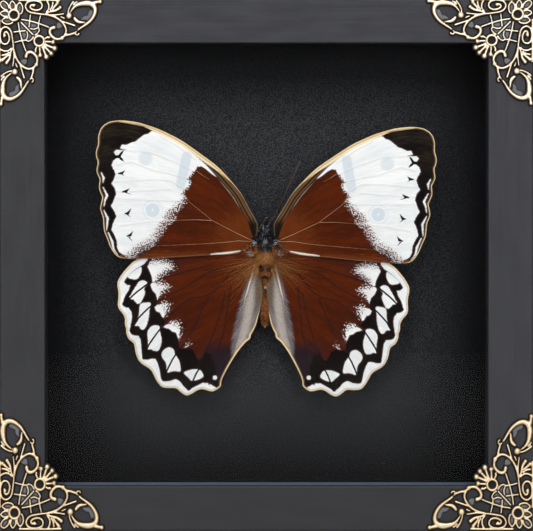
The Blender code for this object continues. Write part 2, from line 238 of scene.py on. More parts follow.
def skin(rings: Array) -> Form:
    """Closed skin over a row of rings, each end drawn in to the middle of its ring.

    Args:
        rings: points by ring, place round the ring and axis.

    Returns:
        The closed form.
    """
    count, around = rings.shape[:2]
    middles = np.stack([rings[0].mean(axis=0), rings[-1].mean(axis=0)])
    base = np.arange(count - 1)[:, None] * around
    here = np.arange(around)
    there = (here + 1) % around
    quads = np.stack([base + here, base + there, base + around + there, base + around + here], -1)
    first = np.stack([np.full(around, count * around), there, here], axis=1)
    last_ring = (count - 1) * around
    last = np.stack([np.full(around, count * around + 1), last_ring + here, last_ring + there], 1)
    points = np.vstack([rings.reshape(-1, 3), middles])
    return Form(points, [quads.reshape(-1, 4), np.vstack([first, last])]).outward()


def unit(vectors: Array) -> Array:
    """Each vector at length 1."""
    return vectors / (np.linalg.norm(vectors, axis=1, keepdims=True) + 1e-12)


def swept(path: Array, section: Array, reach: Array, lift: Array) -> Form:
    """A section carried along a path, its first axis across it and its second along lift.

    Args:
        path: places along the route.
        section: the section's outline at full size, as (across, lift) pairs.
        reach: scale of the section at each place, as (across, lift) pairs.
        lift: the direction that the section's second axis leans to.

    Returns:
        The closed form.
    """
    ahead = unit(np.gradient(path, axis=0))
    across = unit(np.cross(ahead, lift))
    upward = np.cross(across, ahead)
    wide = (section[None, :, 0] * reach[:, :1])[..., None] * across[:, None]
    high = (section[None, :, 1] * reach[:, 1:])[..., None] * upward[:, None]
    return skin(path[:, None] + wide + high)


def circle(sides: int) -> Array:
    """Unit circle as pairs of cosine and sine."""
    angles = np.arange(sides) * (2.0 * math.pi / sides)
    return np.stack([np.cos(angles), np.sin(angles)], axis=1)


def place(points: Sequence[float] | Array) -> Array:
    """(right, up, depth) from the middle of the frame's face as the row frame's millimetres."""
    right, up, depth = np.moveaxis(np.asarray(points, float), -1, 0)
    return np.stack([right, FACE_Y + depth, CENTRE_Z + up], axis=-1)


class Slot(Enum):
    """The record's material slots."""

    RAIL = "rail_paint"
    GLASS = "glass"
    LINER = "liner_card"
    COVER = "board_cover"
    REAR = "rear_board"
    STEEL = "steel"
    BRASS = "antique_brass"
    SCALES = "wing_scales"
    BODY = "body_hair"
    ABDOMEN = "abdomen_hair"
    HORN = "antenna_horn"
    GLUE = "glue"


def put(name: str, data: bpy.types.ID) -> bpy.types.Object:
    """A new object in the scene that shows the data."""
    made = bpy.data.objects.new(name, data)
    bpy.context.scene.collection.objects.link(made)
    return made


def make_piece(
    name: str, form: Form, finish: Material, stands_for: Sequence[str]
) -> bpy.types.Object:
    """Put a form into the scene as a piece that stands for CAD nodes.

    Args:
        name: the piece's name.
        form: its shape in the row frame's millimetres.
        finish: its material.
        stands_for: the CAD nodes that it replaces.

    Returns:
        The new object.
    """
    mesh = form.mesh(name)
    mesh.shade_smooth()
    for tag, values in form.tags.items():
        store = mesh.attributes.new(tag, "FLOAT", "POINT")
        store.data.foreach_set("value", np.ascontiguousarray(values, np.float32))
    mesh.materials.append(finish)
    piece = put(name, mesh)
    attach(piece, "root")
    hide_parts(*stands_for)
    log.info("%s: %d faces", name, len(mesh.polygons))
    return piece


def dress_node(node: str, finish: Material, slot: Slot) -> None:
    """Give a CAD node that stays in view its finish.

    Args:
        node: the node's name.
        finish: its material.
        slot: the record's slot that the finish belongs to.
    """
    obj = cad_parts[node]
    obj.data.materials.clear()
    obj.data.materials.append(finish)
    log.info("%s: kept, dressed as %s", node, slot.value)


# ---- shader arithmetic


def ink(red: float, green: float, blue: float) -> tuple[float, float, float, float]:
    """A display colour from 0 to 255 as linear light: the usual gamma of 2.4 with its offset."""
    shares = [channel / 255.0 for channel in (red, green, blue)]
    linear = [s / 12.92 if s <= 0.04045 else ((s + 0.055) / 1.055) ** 2.4 for s in shares]
    return (*linear, 1.0)


class Value:
    """A shader socket; Python arithmetic on it adds Math nodes."""

    def __init__(self, recipe: Recipe, socket: bpy.types.NodeSocket) -> None:
        """Wrap a socket of a recipe."""
        self.recipe = recipe
        self.socket = socket

    def _math(self, operation: str, *terms: Term) -> Value:
        """A Math node over the given terms."""
        settings = {"operation": operation}
        return self.recipe.node("ShaderNodeMath", 0, settings, dict(enumerate(terms)))

    def __add__(self, other: Term) -> Value:
        """This plus another."""
        return self._math("ADD", self, other)

    def __sub__(self, other: Term) -> Value:
        """This less another."""
        return self._math("SUBTRACT", self, other)

    def __rsub__(self, other: Term) -> Value:
        """Another less this."""
        return self._math("SUBTRACT", other, self)

    def __mul__(self, other: Term) -> Value:
        """This times another."""
        return self._math("MULTIPLY", self, other)

    def most(self, other: Term) -> Value:
        """The greater of this and another."""
        return self._math("MAXIMUM", self, other)

    def wave(self) -> Value:
        """The sine of this."""
        return self._math("SINE", self)

    def ease(self, low: float, high: float, start: float = 0.0, end: float = 1.0) -> Value:
        """Smooth step of this.

        Args:
            low: where it begins.
            high: where it ends.
            start: the result at low and before it.
            end: the result at high and beyond it.

        Returns:
            The eased value.
        """
        settings = {"interpolation_type": "SMOOTHSTEP", "clamp": True}
        ends = {"From Min": low, "From Max": high, "To Min": start, "To Max": end}
        return self.recipe.node("ShaderNodeMapRange", "Result", settings, {"Value": self, **ends})


Term = Value | float
Colour = Value | tuple[float, float, float, float]


class Recipe:
    """The node tree of one finish, or of the studio's backdrop, while it is put together."""

    def __init__(self, name: str, world: bool = False) -> None:
        """Start an empty material, or world, of that name."""
        self.kind = "World" if world else "Material"
        self.owner = (bpy.data.worlds if world else bpy.data.materials).new(name)
        self.owner.use_nodes = True
        self.tree = self.owner.node_tree
        self.tree.nodes.clear()

    def _add(self, kind: str, settings: dict, sockets: dict) -> bpy.types.Node:
        """Add a node.

        Args:
            kind: the node's type.
            settings: its own properties, set first; "stops" fills a colour ramp.
            sockets: its inputs by name or place, each a plain value or a Value to link.

        Returns:
            The whole node.
        """
        made = self.tree.nodes.new(kind)
        for key, value in settings.items():
            if key == "stops":
                self._fill_ramp(made.color_ramp, value)
            else:
                setattr(made, key, value)
        for key, value in sockets.items():
            if isinstance(value, Value):
                self.tree.links.new(value.socket, made.inputs[key])
            else:
                made.inputs[key].default_value = value
        return made

    @staticmethod
    def _fill_ramp(ramp: bpy.types.ColorRamp, stops: Sequence[tuple]) -> None:
        """Set a colour ramp's stops from (place, colour) pairs."""
        while len(ramp.elements) < len(stops):
            ramp.elements.new(1.0)
        for element, (where, colour) in zip(ramp.elements, stops):
            element.position = where
            element.color = colour

    def node(
        self, kind: str, output: str | int, settings: dict | None = None,
        sockets: dict | None = None,
    ) -> Value:
        """One output of a new node.

        Args:
            kind: the node's type.
            output: the output that is wanted, by name or place.
            settings: its own properties; "stops" fills a colour ramp.
            sockets: its inputs by name or place.

        Returns:
            The output.
        """
        return Value(self, self._add(kind, settings or {}, sockets or {}).outputs[output])

    def ramp(self, value: Value, stops: Sequence[tuple]) -> Value:
        """Colours along a value from 0 to 1."""
        return self.node("ShaderNodeValToRGB", "Color", {"stops": stops}, {"Fac": value})

    def tag(self, name: str) -> Value:
        """A point value of the mesh."""
        return self.node("ShaderNodeAttribute", "Fac", {"attribute_name": name})

    def where(self) -> Value:
        """Object coordinates in millimetres."""
        sockets = {"Vector": self.node("ShaderNodeTexCoord", "Object"), "Scale": 1.0 / MM}
        return self.node("ShaderNodeVectorMath", "Vector", {"operation": "SCALE"}, sockets)

    def stretched(self, vector: Value, scale: Triple) -> Value:
        """A vector with each axis scaled."""
        sockets = {0: vector, 1: scale}
        return self.node("ShaderNodeVectorMath", "Vector", {"operation": "MULTIPLY"}, sockets)

    def pack(self, x: Term, y: Term, z: Term = 0.0) -> Value:
        """Three numbers as one vector."""
        return self.node("ShaderNodeCombineXYZ", "Vector", {}, {"X": x, "Y": y, "Z": z})

    def split(self, vector: Value) -> list[Value]:
        """A vector's three numbers."""
        made = self._add("ShaderNodeSeparateXYZ", {}, {"Vector": vector})
        return [Value(self, made.outputs[axis]) for axis in "XYZ"]

    def size(self, value: Value) -> Value:
        """How far a value is from 0."""
        return value.most(value * -1.0)

    def noise(self, at: Value, scale: float, detail: float = 2.0, rough: float = 0.5) -> Value:
        """Cloudy noise round 0.5, scale features to the millimetre."""
        sockets = {"Vector": at, "Scale": scale, "Detail": detail, "Roughness": rough}
        return self.node("ShaderNodeTexNoise", "Fac", {}, sockets)

    def cells(self, at: Value, scale: float) -> Value:
        """Distance from the middles of irregular cells."""
        sockets = {"Vector": at, "Scale": scale}
        return self.node("ShaderNodeTexVoronoi", "Distance", {"feature": "F1"}, sockets)

    def mix(self, share: Term, first: Colour, second: Colour) -> Value:
        """One colour over another."""
        settings = {"data_type": "RGBA", "blend_type": "MIX", "clamp_factor": True}
        return self.node("ShaderNodeMix", 2, settings, {0: share, 6: first, 7: second})

    def bump(self, height: Value, depth_mm: float) -> Value:
        """A normal from a height between 0 and 1 that stands for a depth in millimetres."""
        sockets = {"Height": height, "Distance": depth_mm * MM, "Strength": 1.0}
        return self.node("ShaderNodeBump", "Normal", {}, sockets)

    def principled(self, **sockets: Colour | float) -> Material:
        """The material as a Principled shader; underscores in the names stand for spaces."""
        named = {key.replace("_", " "): value for key, value in sockets.items()}
        return self.done(self.node("ShaderNodeBsdfPrincipled", "BSDF", {}, named))

    def done(self, shader: Value) -> Material | bpy.types.World:
        """Wire the shader to the output and hand over the material or world."""
        self._add("ShaderNodeOutput" + self.kind, {}, {"Surface": shader})
        return self.owner


# ---- finishes


@dataclass(frozen=True)
class RailPaint:
    """Charcoal satin paint over wood, with faint streaks along each rail."""

    body: tuple = ink(43, 43, 47)
    worn: tuple = ink(50, 50, 54)
    # colour of the painted shade, strongest on the bottom rail, where the light from above is
    # weakest
    deep: tuple = ink(29, 29, 30)
    roughness: float = 0.42

    def material(self) -> Material:
        """Brush streaks from noise drawn out along the rail, and a fine orange peel."""
        mix = Recipe("rail_paint")
        along, across = mix.tag("along"), mix.tag("around")
        streaks = mix.noise(mix.pack(along * 0.02, across * 1.5), 1.0, 4.0, 0.6)
        clouds = mix.noise(mix.pack(along * 0.05, across * 0.2), 1.0, 3.0)
        peel = mix.noise(mix.where(), 3.0, 3.0, 0.6)
        base = mix.mix((streaks * 0.5 + clouds * 0.7).ease(0.42, 0.85), self.body, self.worn)
        # painted shade: each rail darkened by its own share, as the light falls from above
        base = mix.mix(mix.tag("depth_of_tone"), base, self.deep)
        relief = mix.bump(peel * 0.7 + streaks * 0.3, 0.012)
        rough = (streaks + clouds).ease(0.6, 1.5, self.roughness - 0.06, self.roughness + 0.1)
        return mix.principled(
            Base_Color=base, Roughness=rough, Normal=relief, Specular_IOR_Level=0.35
        )


@dataclass(frozen=True)
class PictureGlass:
    """Clear picture glass with an anti-reflection coat: almost no glare seen square on."""

    coat_index: float = 1.14
    tint: tuple = (0.985, 0.99, 0.99, 1.0)
    roughness: float = 0.02

    def material(self) -> Material:
        """Light passes, apart from the share that its coat turns back at that slant."""
        mix = Recipe("glass")
        share = mix.node("ShaderNodeFresnel", 0, {}, {"IOR": self.coat_index})
        through = mix.node("ShaderNodeBsdfTransparent", 0, {}, {"Color": self.tint})
        glare = mix.node("ShaderNodeBsdfGlossy", 0, {}, {"Roughness": self.roughness})
        both = mix.node("ShaderNodeMixShader", 0, {}, {0: share, 1: through, 2: glare})
        return mix.done(both)


@dataclass(frozen=True)
class PebbledPaper:
    """Black paper with a fine leather grain over the mount board, with painted shade near black
    along its edges.
    """

    ground: tuple = ink(33, 33, 35)
    # colour of the painted highlight on the pebble tops
    glint: tuple = ink(84, 84, 87)
    # colour of the painted shade along the board's edges
    edge: tuple = ink(4, 4, 5)
    grain: float = 2.6
    half: float = 83.0
    edge_shade_reach: float = 45.0

    def material(self) -> Material:
        """Pebbles from irregular cells, with a painted highlight where they stand highest."""
        mix = Recipe("board_cover")
        at = mix.where()
        right, _, up = mix.split(at)
        pebbles = mix.cells(at, self.grain)
        cloud = mix.noise(at, self.grain * 1.3, 3.0, 0.6)
        height = (1.0 - pebbles) * 0.7 + cloud * 0.6
        # painted highlight on the pebble tops
        base = mix.mix(height.ease(0.55, 1.0), self.ground, self.glint)
        rough = cloud.ease(0.35, 0.65, 0.42, 0.58)
        # painted shade: the paper darkens towards the rails, where their shadow falls
        near_side = (self.half + 3.0 - mix.size(right)).ease(0.0, self.edge_shade_reach, 0.12, 1.0)
        near_end = (self.half + 3.0 - mix.size(up - CENTRE_Z)).ease(0.0, self.edge_shade_reach, 0.12, 1.0)
        base = mix.mix(near_side * near_end, self.edge, base)
        return mix.principled(
            Base_Color=base, Roughness=rough, Normal=mix.bump(height, 0.12),
            Specular_IOR_Level=0.05,
        )


@dataclass(frozen=True)
class Fibreboard:
    """Board with a fine mottle: black card for the liners, bare brown board for the back."""

    name: str
    light: tuple
    dark: tuple
    roughness: float
    mottle: float = 2.5
    # how strongly painted light from above lies on the faces that point up
    dust: float = 0.0

    def material(self) -> Material:
        """Fibres from two noises, one drawn out, and painted light in pale blue-grey on what faces
        up.
        """
        mix = Recipe(self.name)
        at = mix.where()
        fibres = mix.noise(mix.stretched(at, (0.3, 1.0, 2.2)), self.mottle, 5.0, 0.65)
        specks = mix.noise(at, self.mottle * 3.0, 2.0)
        base = mix.mix((fibres * 0.7 + specks * 0.3).ease(0.32, 0.7), self.dark, self.light)
        lie = mix.node("ShaderNodeNewGeometry", "Normal")
        # painted light: faces that point up made paler and bluer, as if lit from above
        lit_from_above = mix.split(lie)[2].ease(0.5, 1.0) * (specks * 0.6 + 0.7) * self.dust
        base = mix.mix(lit_from_above, base, ink(116, 129, 150))
        relief = mix.bump(fibres + specks, 0.03)
        rough = specks.ease(0.3, 0.7, self.roughness - 0.08, self.roughness + 0.08)
        return mix.principled(Base_Color=base, Roughness=rough, Normal=relief)


@dataclass(frozen=True)
class PlatedSteel:
    """Zinc-plated steel with rolling marks and a dull bloom."""

    bright: tuple = ink(190, 191, 196)
    dull: tuple = ink(135, 134, 132)

    def material(self) -> Material:
        """Rolling marks from drawn-out noise, bloom from clouds."""
        mix = Recipe("steel")
        at = mix.where()
        marks = mix.noise(mix.stretched(at, (0.4, 4.0, 6.0)), 1.5, 4.0, 0.6)
        bloom = mix.noise(at, 0.35, 3.0)
        base = mix.mix((marks * 0.5 + bloom).ease(0.5, 1.0), self.bright, self.dull)
        rough = bloom.ease(0.3, 0.7, 0.3, 0.48)
        return mix.principled(
            Base_Color=base, Roughness=rough, Metallic=1.0, Normal=mix.bump(marks, 0.01)
        )


@dataclass(frozen=True)
class AntiqueBrass:
    """Cast brass, rubbed bright on its crests and dark with patina in its recesses, with a painted
    highlight where it faces forward and painted shade on its sides.
    """

    # crest colour: partly rubbed brass, partly painted highlight
    crest: tuple = ink(252, 243, 222)
    gold: tuple = ink(196, 160, 112)
    shade: tuple = ink(84, 58, 34)
    patina: tuple = ink(9, 8, 8)
    floor: tuple = ink(98, 99, 102)
    # crest colour of the painted warm reflection on the lower brackets
    warm_reflection: tuple = ink(236, 200, 140)

    def material(self) -> Material:
        """Four tones by how squarely the metal faces out and how high it stands: painted highlight
        facing forward, painted shade turning away.
        """
        mix = Recipe("antique_brass")
        at = mix.where()
        facing, height = mix.tag("facing"), mix.tag("height")
        grain = mix.noise(at, 2.2, 4.0, 0.65)
        cloud = mix.noise(at, 0.25, 2.0)
        square = facing + (grain - 0.5) * 0.35 + (cloud - 0.5) * 0.2
        # painted reflection: the lower brackets' crests warmer, as the light from above meets them
        crest = mix.mix(mix.tag("honeyed"), self.crest, self.warm_reflection)
        # painted highlight where the metal faces forward, painted shade on its sides
        metal = mix.mix(square.ease(0.72, 0.97), self.gold, crest)
        metal = mix.mix(square.ease(0.42, 0.82), self.shade, metal)
        # painted shade on the plates next to the bars
        plates = (height + (grain - 0.5) * 0.1).ease(0.63, 0.7) * (1.0 - mix.tag("nook"))
        # plates that turn away go patina-dark: partly patina, partly painted shade
        low = mix.mix(square.ease(0.3, 0.9) * plates, self.patina, self.floor)
        proud = (height + (grain - 0.5) * 0.2).ease(0.78, 1.0)
        # steep sides and low soles go near black: partly patina, partly painted shadow outlines
        base = mix.mix(square.ease(0.02, 0.42), self.patina, mix.mix(proud, low, metal))
        polish = square.ease(0.5, 0.9) * proud
        pits = mix.noise(at, 5.0, 3.0, 0.6)
        return mix.principled(
            Base_Color=base,
            Metallic=polish.ease(0.0, 1.0, 0.0, 0.7),
            Roughness=polish.ease(0.0, 1.0, 0.62, 0.33),
            Normal=mix.bump(pits + grain, 0.05),
            Specular_IOR_Level=0.3,
        )


@dataclass(frozen=True)
class WingScales:
    """Dusty scales: brown, black, white and grey fields with frayed edges and gold rims.

    Every field is a depth in millimetres inside a marking, so noise added to it frays its edge.
    """

    brown: tuple = ink(84, 28, 0)
    brown_deep: tuple = ink(62, 19, 2)
    brown_warm: tuple = ink(118, 58, 18)
    black: tuple = ink(14, 8, 8)
    black_streak: tuple = ink(56, 46, 34)
    purple: tuple = ink(37, 26, 31)
    grey: tuple = ink(140, 128, 128)
    grey_shade: tuple = ink(88, 76, 78)
    white: tuple = ink(245, 243, 240)
    white_shade: tuple = ink(216, 217, 220)
    blush: tuple = ink(190, 158, 148)
    fringe: tuple = ink(70, 42, 34)
    vein_warm: tuple = ink(222, 219, 212)
    vein_tan: tuple = ink(176, 134, 100)
    vein_dark: tuple = ink(38, 23, 21)
    silver: tuple = ink(188, 177, 167)
    silver_shade: tuple = ink(108, 97, 96)
    fold_line: tuple = ink(228, 218, 202)
    olive: tuple = ink(122, 107, 86)
    olive_shade: tuple = ink(68, 57, 45)
    edge_shade: tuple = ink(146, 122, 92)
    blue: tuple = ink(202, 211, 219)
    cream: tuple = ink(243, 224, 186)
    gold: tuple = ink(222, 178, 110)
    scatter: float = 21.0
    gilt: tuple = (
        (0.0, ink(190, 140, 80)), (0.08, ink(240, 200, 134)), (0.24, ink(248, 218, 160)),
        (0.32, ink(200, 154, 98)), (0.38, ink(246, 222, 178)), (0.5, ink(250, 238, 212)),
        (0.58, ink(212, 182, 140)), (0.64, ink(250, 243, 228)), (1.0, ink(248, 246, 240)),
    )
    costal: tuple = (
        (0.0, ink(188, 158, 116)), (0.05, ink(104, 76, 48)), (0.12, ink(44, 28, 16)),
        (0.2, ink(92, 62, 34)), (0.36, ink(112, 80, 48)), (0.44, ink(34, 22, 14)),
        (0.56, ink(50, 34, 22)), (0.64, ink(104, 74, 46)), (0.74, ink(78, 52, 32)),
        (0.78, ink(24, 16, 12)), (0.85, ink(30, 20, 14)), (0.89, ink(148, 136, 122)),
        (0.95, ink(120, 104, 90)), (1.0, ink(70, 28, 8)),
    )

    def material(self) -> Material:
        """Field by field from the ground up, each laid over the last."""
        mix = Recipe("wing_scales")
        along, across = mix.tag("along"), mix.tag("across")
        flow = mix.pack(along, across)
        hairs = mix.noise(mix.stretched(flow, (0.22, 2.4, 1.0)), 1.0, 4.0, 0.6)
        broad = mix.noise(mix.stretched(flow, (0.05, 0.28, 1.0)), 1.0, 3.0)
        dust = mix.noise(mix.stretched(flow, (2.6, 4.4, 1.0)), 1.0, 3.0, 0.7)
        powder = mix.noise(mix.stretched(flow, (2.1, 2.1, 1.0)), 1.0, 1.0, 0.5)
        fleck = (hairs - 0.5) * 1.2 + (dust - 0.5) * 1.6
        base = mix.mix(broad.ease(0.3, 0.7), self.brown_deep, self.brown)
        glow = (mix.tag("warm") + (hairs - 0.5) * 1.6).ease(0.1, 1.9)
        base = mix.mix(glow, base, self.brown_warm)
        base = mix.mix((hairs * 0.6 + dust * 0.4).ease(0.5, 0.66, 0.0, 0.4), base, self.brown_warm)
        base = mix.mix((hairs * 0.7 + dust * 0.3).ease(0.34, 0.48, 0.6, 0.0), base, self.brown_deep)
        base = mix.mix((mix.tag("purple") + fleck * 0.35).ease(0.1, 1.1), base, self.purple)
        veins = mix.tag("veins")
        on_brown = mix.mix(mix.tag("dark_veins").ease(-0.08, 0.1), base, self.vein_dark)
        on_brown = mix.mix(veins.ease(-0.5, -0.1, 0.0, 0.5), on_brown, self.brown_deep)
        broken = veins.ease(-0.08, 0.08) * hairs.ease(0.3, 0.6, 0.5, 1.0)
        on_brown = mix.mix(broken, on_brown, self.vein_tan)
        sheen = (hairs * 0.5 + broad * 0.7 + (dust - 0.5) * 0.3).ease(0.5, 0.8)
        night = mix.mix(sheen * mix.tag("gloss"), self.black, self.black_streak)
        base = mix.mix((mix.tag("night") + fleck * 0.5).ease(-0.25, 0.25), on_brown, night)
        grain = (powder - 0.5) * 0.9 + (hairs - 0.5) * 0.8
        grey = mix.mix((broad + grain).ease(0.25, 0.85), self.grey_shade, self.grey)
        hide = mix.mix((grain + 0.5).ease(0.25, 0.75), self.olive_shade, self.olive)
        grey = mix.mix((mix.tag("olive") + fleck * 0.4).ease(0.0, 1.0), grey, hide)
        pearl = mix.mix((grain + 0.6).ease(0.2, 0.75), self.silver_shade, self.silver)
        grey = mix.mix((mix.tag("silver") + grain * 1.5).ease(-1.3, 1.3), grey, pearl)
        base = mix.mix((mix.tag("grey") + (hairs - 0.5) * 3.0).ease(-0.7, 0.9), base, grey)
        crease = mix.tag("crease")
        base = mix.mix(crease.ease(-0.55, -0.1, 0.0, 0.35), base, self.olive_shade)
        base = mix.mix((crease + fleck * 0.1).ease(-0.12, 0.12, 0.0, 0.9), base, self.fold_line)
        snow = mix.mix((hairs * 0.6 + broad * 0.6).ease(0.42, 0.8, 0.0, 0.7), self.white,
                       self.white_shade)
        snow = mix.mix(mix.tag("blue").ease(0.0, 1.0, 0.0, 0.85), snow, self.blue)
        snow = mix.mix(mix.tag("pale_veins").ease(-0.3, 0.25, 0.0, 0.8), snow, self.vein_warm)
        fray = mix.tag("fray")
        snow = mix.mix(fray * (1.0 - mix.tag("white").ease(0.0, 3.0)) * 0.35, snow, self.blush)
        ragged = mix.tag("white") + (powder - 0.5) * fray * self.scatter + fleck * 0.5
        base = mix.mix(ragged.ease(-0.75, -0.05) * 0.55, base, self.fringe)
        base = mix.mix(ragged.ease(-0.15, 0.2), base, snow)
        base = mix.mix((mix.tag("marks") + fleck * 0.2).ease(-0.12, 0.12), base, self.black)
        rib = (mix.tag("costa") + (hairs - 0.5) * 0.5) * 0.28
        costal = mix.mix(mix.tag("soot"), mix.ramp(rib, self.costal), self.black)
        base = mix.mix((mix.tag("stripes") + fleck * 0.1).ease(-0.15, 0.15), base, costal)
        edging = mix.ramp((mix.tag("costa") + (hairs - 0.5) * 0.35) * 0.4, self.gilt)
        base = mix.mix((mix.tag("gold") + fleck * 0.6).ease(-0.35, 0.25), base, edging)
        gilt = mix.mix(hairs.ease(0.3, 0.7), self.gold, self.cream)
        base = mix.mix(mix.tag("streak").ease(0.02, 0.12), base, self.cream)
        edge = mix.tag("rim") - mix.tag("rim_width")
        base = mix.mix(edge.ease(0.0, 0.7, 0.45, 0.0), base, self.edge_shade)
        base = mix.mix(edge.ease(-0.16, 0.12, 1.0, 0.0), base, gilt)
        relief = mix.bump(hairs * 0.6 + dust, 0.05)
        return mix.principled(
            Base_Color=base,
            Roughness=hairs.ease(0.3, 0.7, 0.55, 0.75),
            Normal=relief,
            Specular_IOR_Level=0.06,
        )


@dataclass(frozen=True)
class Fur:
    """Scaly hair: rust brown, with fawn and black laid over it by the body's markings, and a
    silver-blue painted highlight on glinting hairs.
    """

    slot: Slot
    rust: tuple = ink(184, 106, 38)
    deep: tuple = ink(92, 44, 14)
    fawn: tuple = ink(200, 148, 90)
    black: tuple = ink(15, 14, 16)
    # colour of the painted highlight on glinting hairs
    silver: tuple = ink(186, 194, 206)

    def material(self) -> Material:
        """Each hair a little lighter or darker than the next, blotched by noise."""
        mix = Recipe(self.slot.value)
        at = mix.where()
        blotch = mix.noise(at, 1.3, 3.0, 0.6)
        tone = mix.tag("tone") + (blotch - 0.5) * 2.4
        base = mix.mix(tone.ease(0.0, 1.1), self.rust, self.deep)
        base = mix.mix((mix.tag("pale") + (blotch - 0.5) * 2.4).ease(0.05, 0.95), base, self.fawn)
        base = mix.mix((mix.tag("dark") + (blotch - 0.5) * 1.8).ease(0.3, 0.75), base, self.black)
        # painted highlight: hairs tagged as glinting made silver-blue
        base = mix.mix(mix.tag("glint").ease(0.0, 1.0), base, self.silver)
        return mix.principled(
            Base_Color=base,
            Roughness=blotch.ease(0.3, 0.7, 0.38, 0.55),
            Normal=mix.bump(mix.noise(at, 6.0, 3.0), 0.06),
            Specular_IOR_Level=0.3,
        )


@dataclass(frozen=True)
class Horn:
    """Dark brown horn of the antennae, ringed by their joints, or the set glue of the pad."""

    name: str
    light: tuple
    dark: tuple
    rings: float
    roughness: float

    def material(self) -> Material:
        """Joints from a sine up the piece, with a cloudy tone."""
        mix = Recipe(self.name)
        at = mix.where()
        cloud = mix.noise(at, 1.5, 3.0)
        joints = (mix.split(at)[2] * self.rings).wave()
        share = (joints * 0.5 + cloud).ease(0.1, 1.1)
        rough = cloud.ease(0.3, 0.7, self.roughness - 0.08, self.roughness + 0.08)
        return mix.principled(
            Base_Color=mix.mix(share, self.dark, self.light), Roughness=rough,
            Normal=mix.bump(cloud, 0.03),
        )


# ---- the box


@dataclass
class ShadowBox:
    """The mitred frame with its glass, liners, covered board, rear panel and hanger."""

    face: float = 17.0
    depth: float = 30.0
    lip: float = 3.0
    rebate: float = 5.0
    outer_round: float = 1.2
    sight_round: float = 0.55
    back_round: float = 0.4
    seam: float = 0.03
    arc_steps: int = 8
    shoulder: float = 0.06
    grain_shift: float = 400.0
    sharp: float = math.radians(32.0)

    # painted shade for each rail, most at the bottom, where the light from above is weakest
    SHADE_BY_SIDE = {"bottom": 0.5, "left": 0.33, "top": 0.0, "right": 0.1}

    def _arc(self, centre: Pair, radius: float, start: float) -> Array:
        """Quarter round with a shoulder point at each end.

        Args:
            centre: the middle of the round.
            radius: its size.
            start: the angle that it starts from, in degrees.

        Returns:
            Its places, as (inward, depth).
        """
        angles = np.radians(start + np.linspace(0.0, 90.0, self.arc_steps + 1))
        turn = np.stack([np.cos(angles), np.sin(angles)], axis=1)
        arc = np.asarray(centre) + radius * turn
        ahead = np.stack([-turn[:, 1], turn[:, 0]], axis=1) * self.shoulder
        return np.vstack([arc[0] - ahead[0], arc, arc[-1] + ahead[-1]])

    def _section(self) -> Array:
        """The rail's outline.

        Returns:
            Its places as (inward, depth), going round once.
        """
        wall = self.face - self.rebate
        back = self.depth - self.back_round
        return np.vstack([
            self._arc((self.outer_round, self.outer_round), self.outer_round, 180.0),
            self._arc((self.face - self.sight_round, self.sight_round), self.sight_round, 270.0),
            [(self.face, self.lip), (wall, self.lip)],
            self._arc((wall - self.back_round, back), self.back_round, 0.0),
            self._arc((self.back_round, back), self.back_round, 90.0),
        ])

    def _rail(self, turns: int, tone: float) -> Form:
        """The bottom rail, turned by quarters about the middle of the frame.

        A point (inward, depth) of the section runs to plus and minus (half less inward) along
        the rail, which cuts the mitres.

        Args:
            turns: how many quarters.
            tone: how much painted shade darkens it, from 0 to 1.

        Returns:
            The rail.
        """
        section = self._section()
        inward, depth = section.T
        ends = []
        for sign in (-1.0, 1.0):
            along = sign * (HALF - self.seam - inward)
            ends.append(np.stack([along, inward - HALF, depth], axis=1))
        flat = np.vstack(ends)
        angle = -turns * math.pi / 2.0
        right = flat[:, 0] * math.cos(angle) - flat[:, 1] * math.sin(angle)
        up = flat[:, 0] * math.sin(angle) + flat[:, 1] * math.cos(angle)
        count = len(section)
        here = np.arange(count)
        there = (here + 1) % count
        sides = np.stack([here, there, there + count, here + count], axis=1)
        caps = np.stack([here[::-1], here + count])
        around = np.concatenate([[0.0], np.cumsum(np.hypot(*np.diff(section, axis=0).T))])
        tags = {
            "along": flat[:, 0] + self.grain_shift * turns,
            "around": np.tile(around, 2),
            "depth_of_tone": np.full(2 * count, tone),
        }
        points = place(np.stack([right, up, flat[:, 2]], axis=1))
        return Form(points, [sides, caps], tags).outward()

    def build(self) -> None:
        """Make the rails, and dress the nodes that stay."""
        paint = RailPaint().material()
        for turns, (side, tone) in enumerate(self.SHADE_BY_SIDE.items()):
            form = self._rail(turns, tone)
            rail = make_piece(side + "_rail", form, paint, ["rail_" + side])
            rail.data.set_sharp_from_angle(angle=self.sharp)
        # the liners carry painted light from above on their upward faces
        card = Fibreboard("liner_card", ink(26, 26, 29), ink(17, 17, 19), 0.6, dust=0.8)
        liner = card.material()
        for side in self.SHADE_BY_SIDE:
            dress_node("spacer_" + side, liner, Slot.LINER)
        dress_node("glass_pane", PictureGlass().material(), Slot.GLASS)
        dress_node("mount_board", PebbledPaper().material(), Slot.COVER)
        rear = Fibreboard("rear_board", ink(152, 118, 84), ink(112, 82, 55), 0.75, 1.2)
        dress_node("rear_panel", rear.material(), Slot.REAR)
        steel = PlatedSteel().material()
        points = ["retaining_point_" + side for side in self.SHADE_BY_SIDE]
        for node in (*points, "sawtooth_hanger", "hanger_nail_left", "hanger_nail_right"):
            dress_node(node, steel, Slot.STEEL)


# ---- the corner brackets


@dataclass(frozen=True)
class Stroke:
    """A half-round bar of the casting, as (across, down) from the frame's corner."""

    route: Route
    width: float = 1.05
    height: float = 1.35
    start: float = 1.0
    end: float = 1.0
    swell: tuple[float, ...] = ()


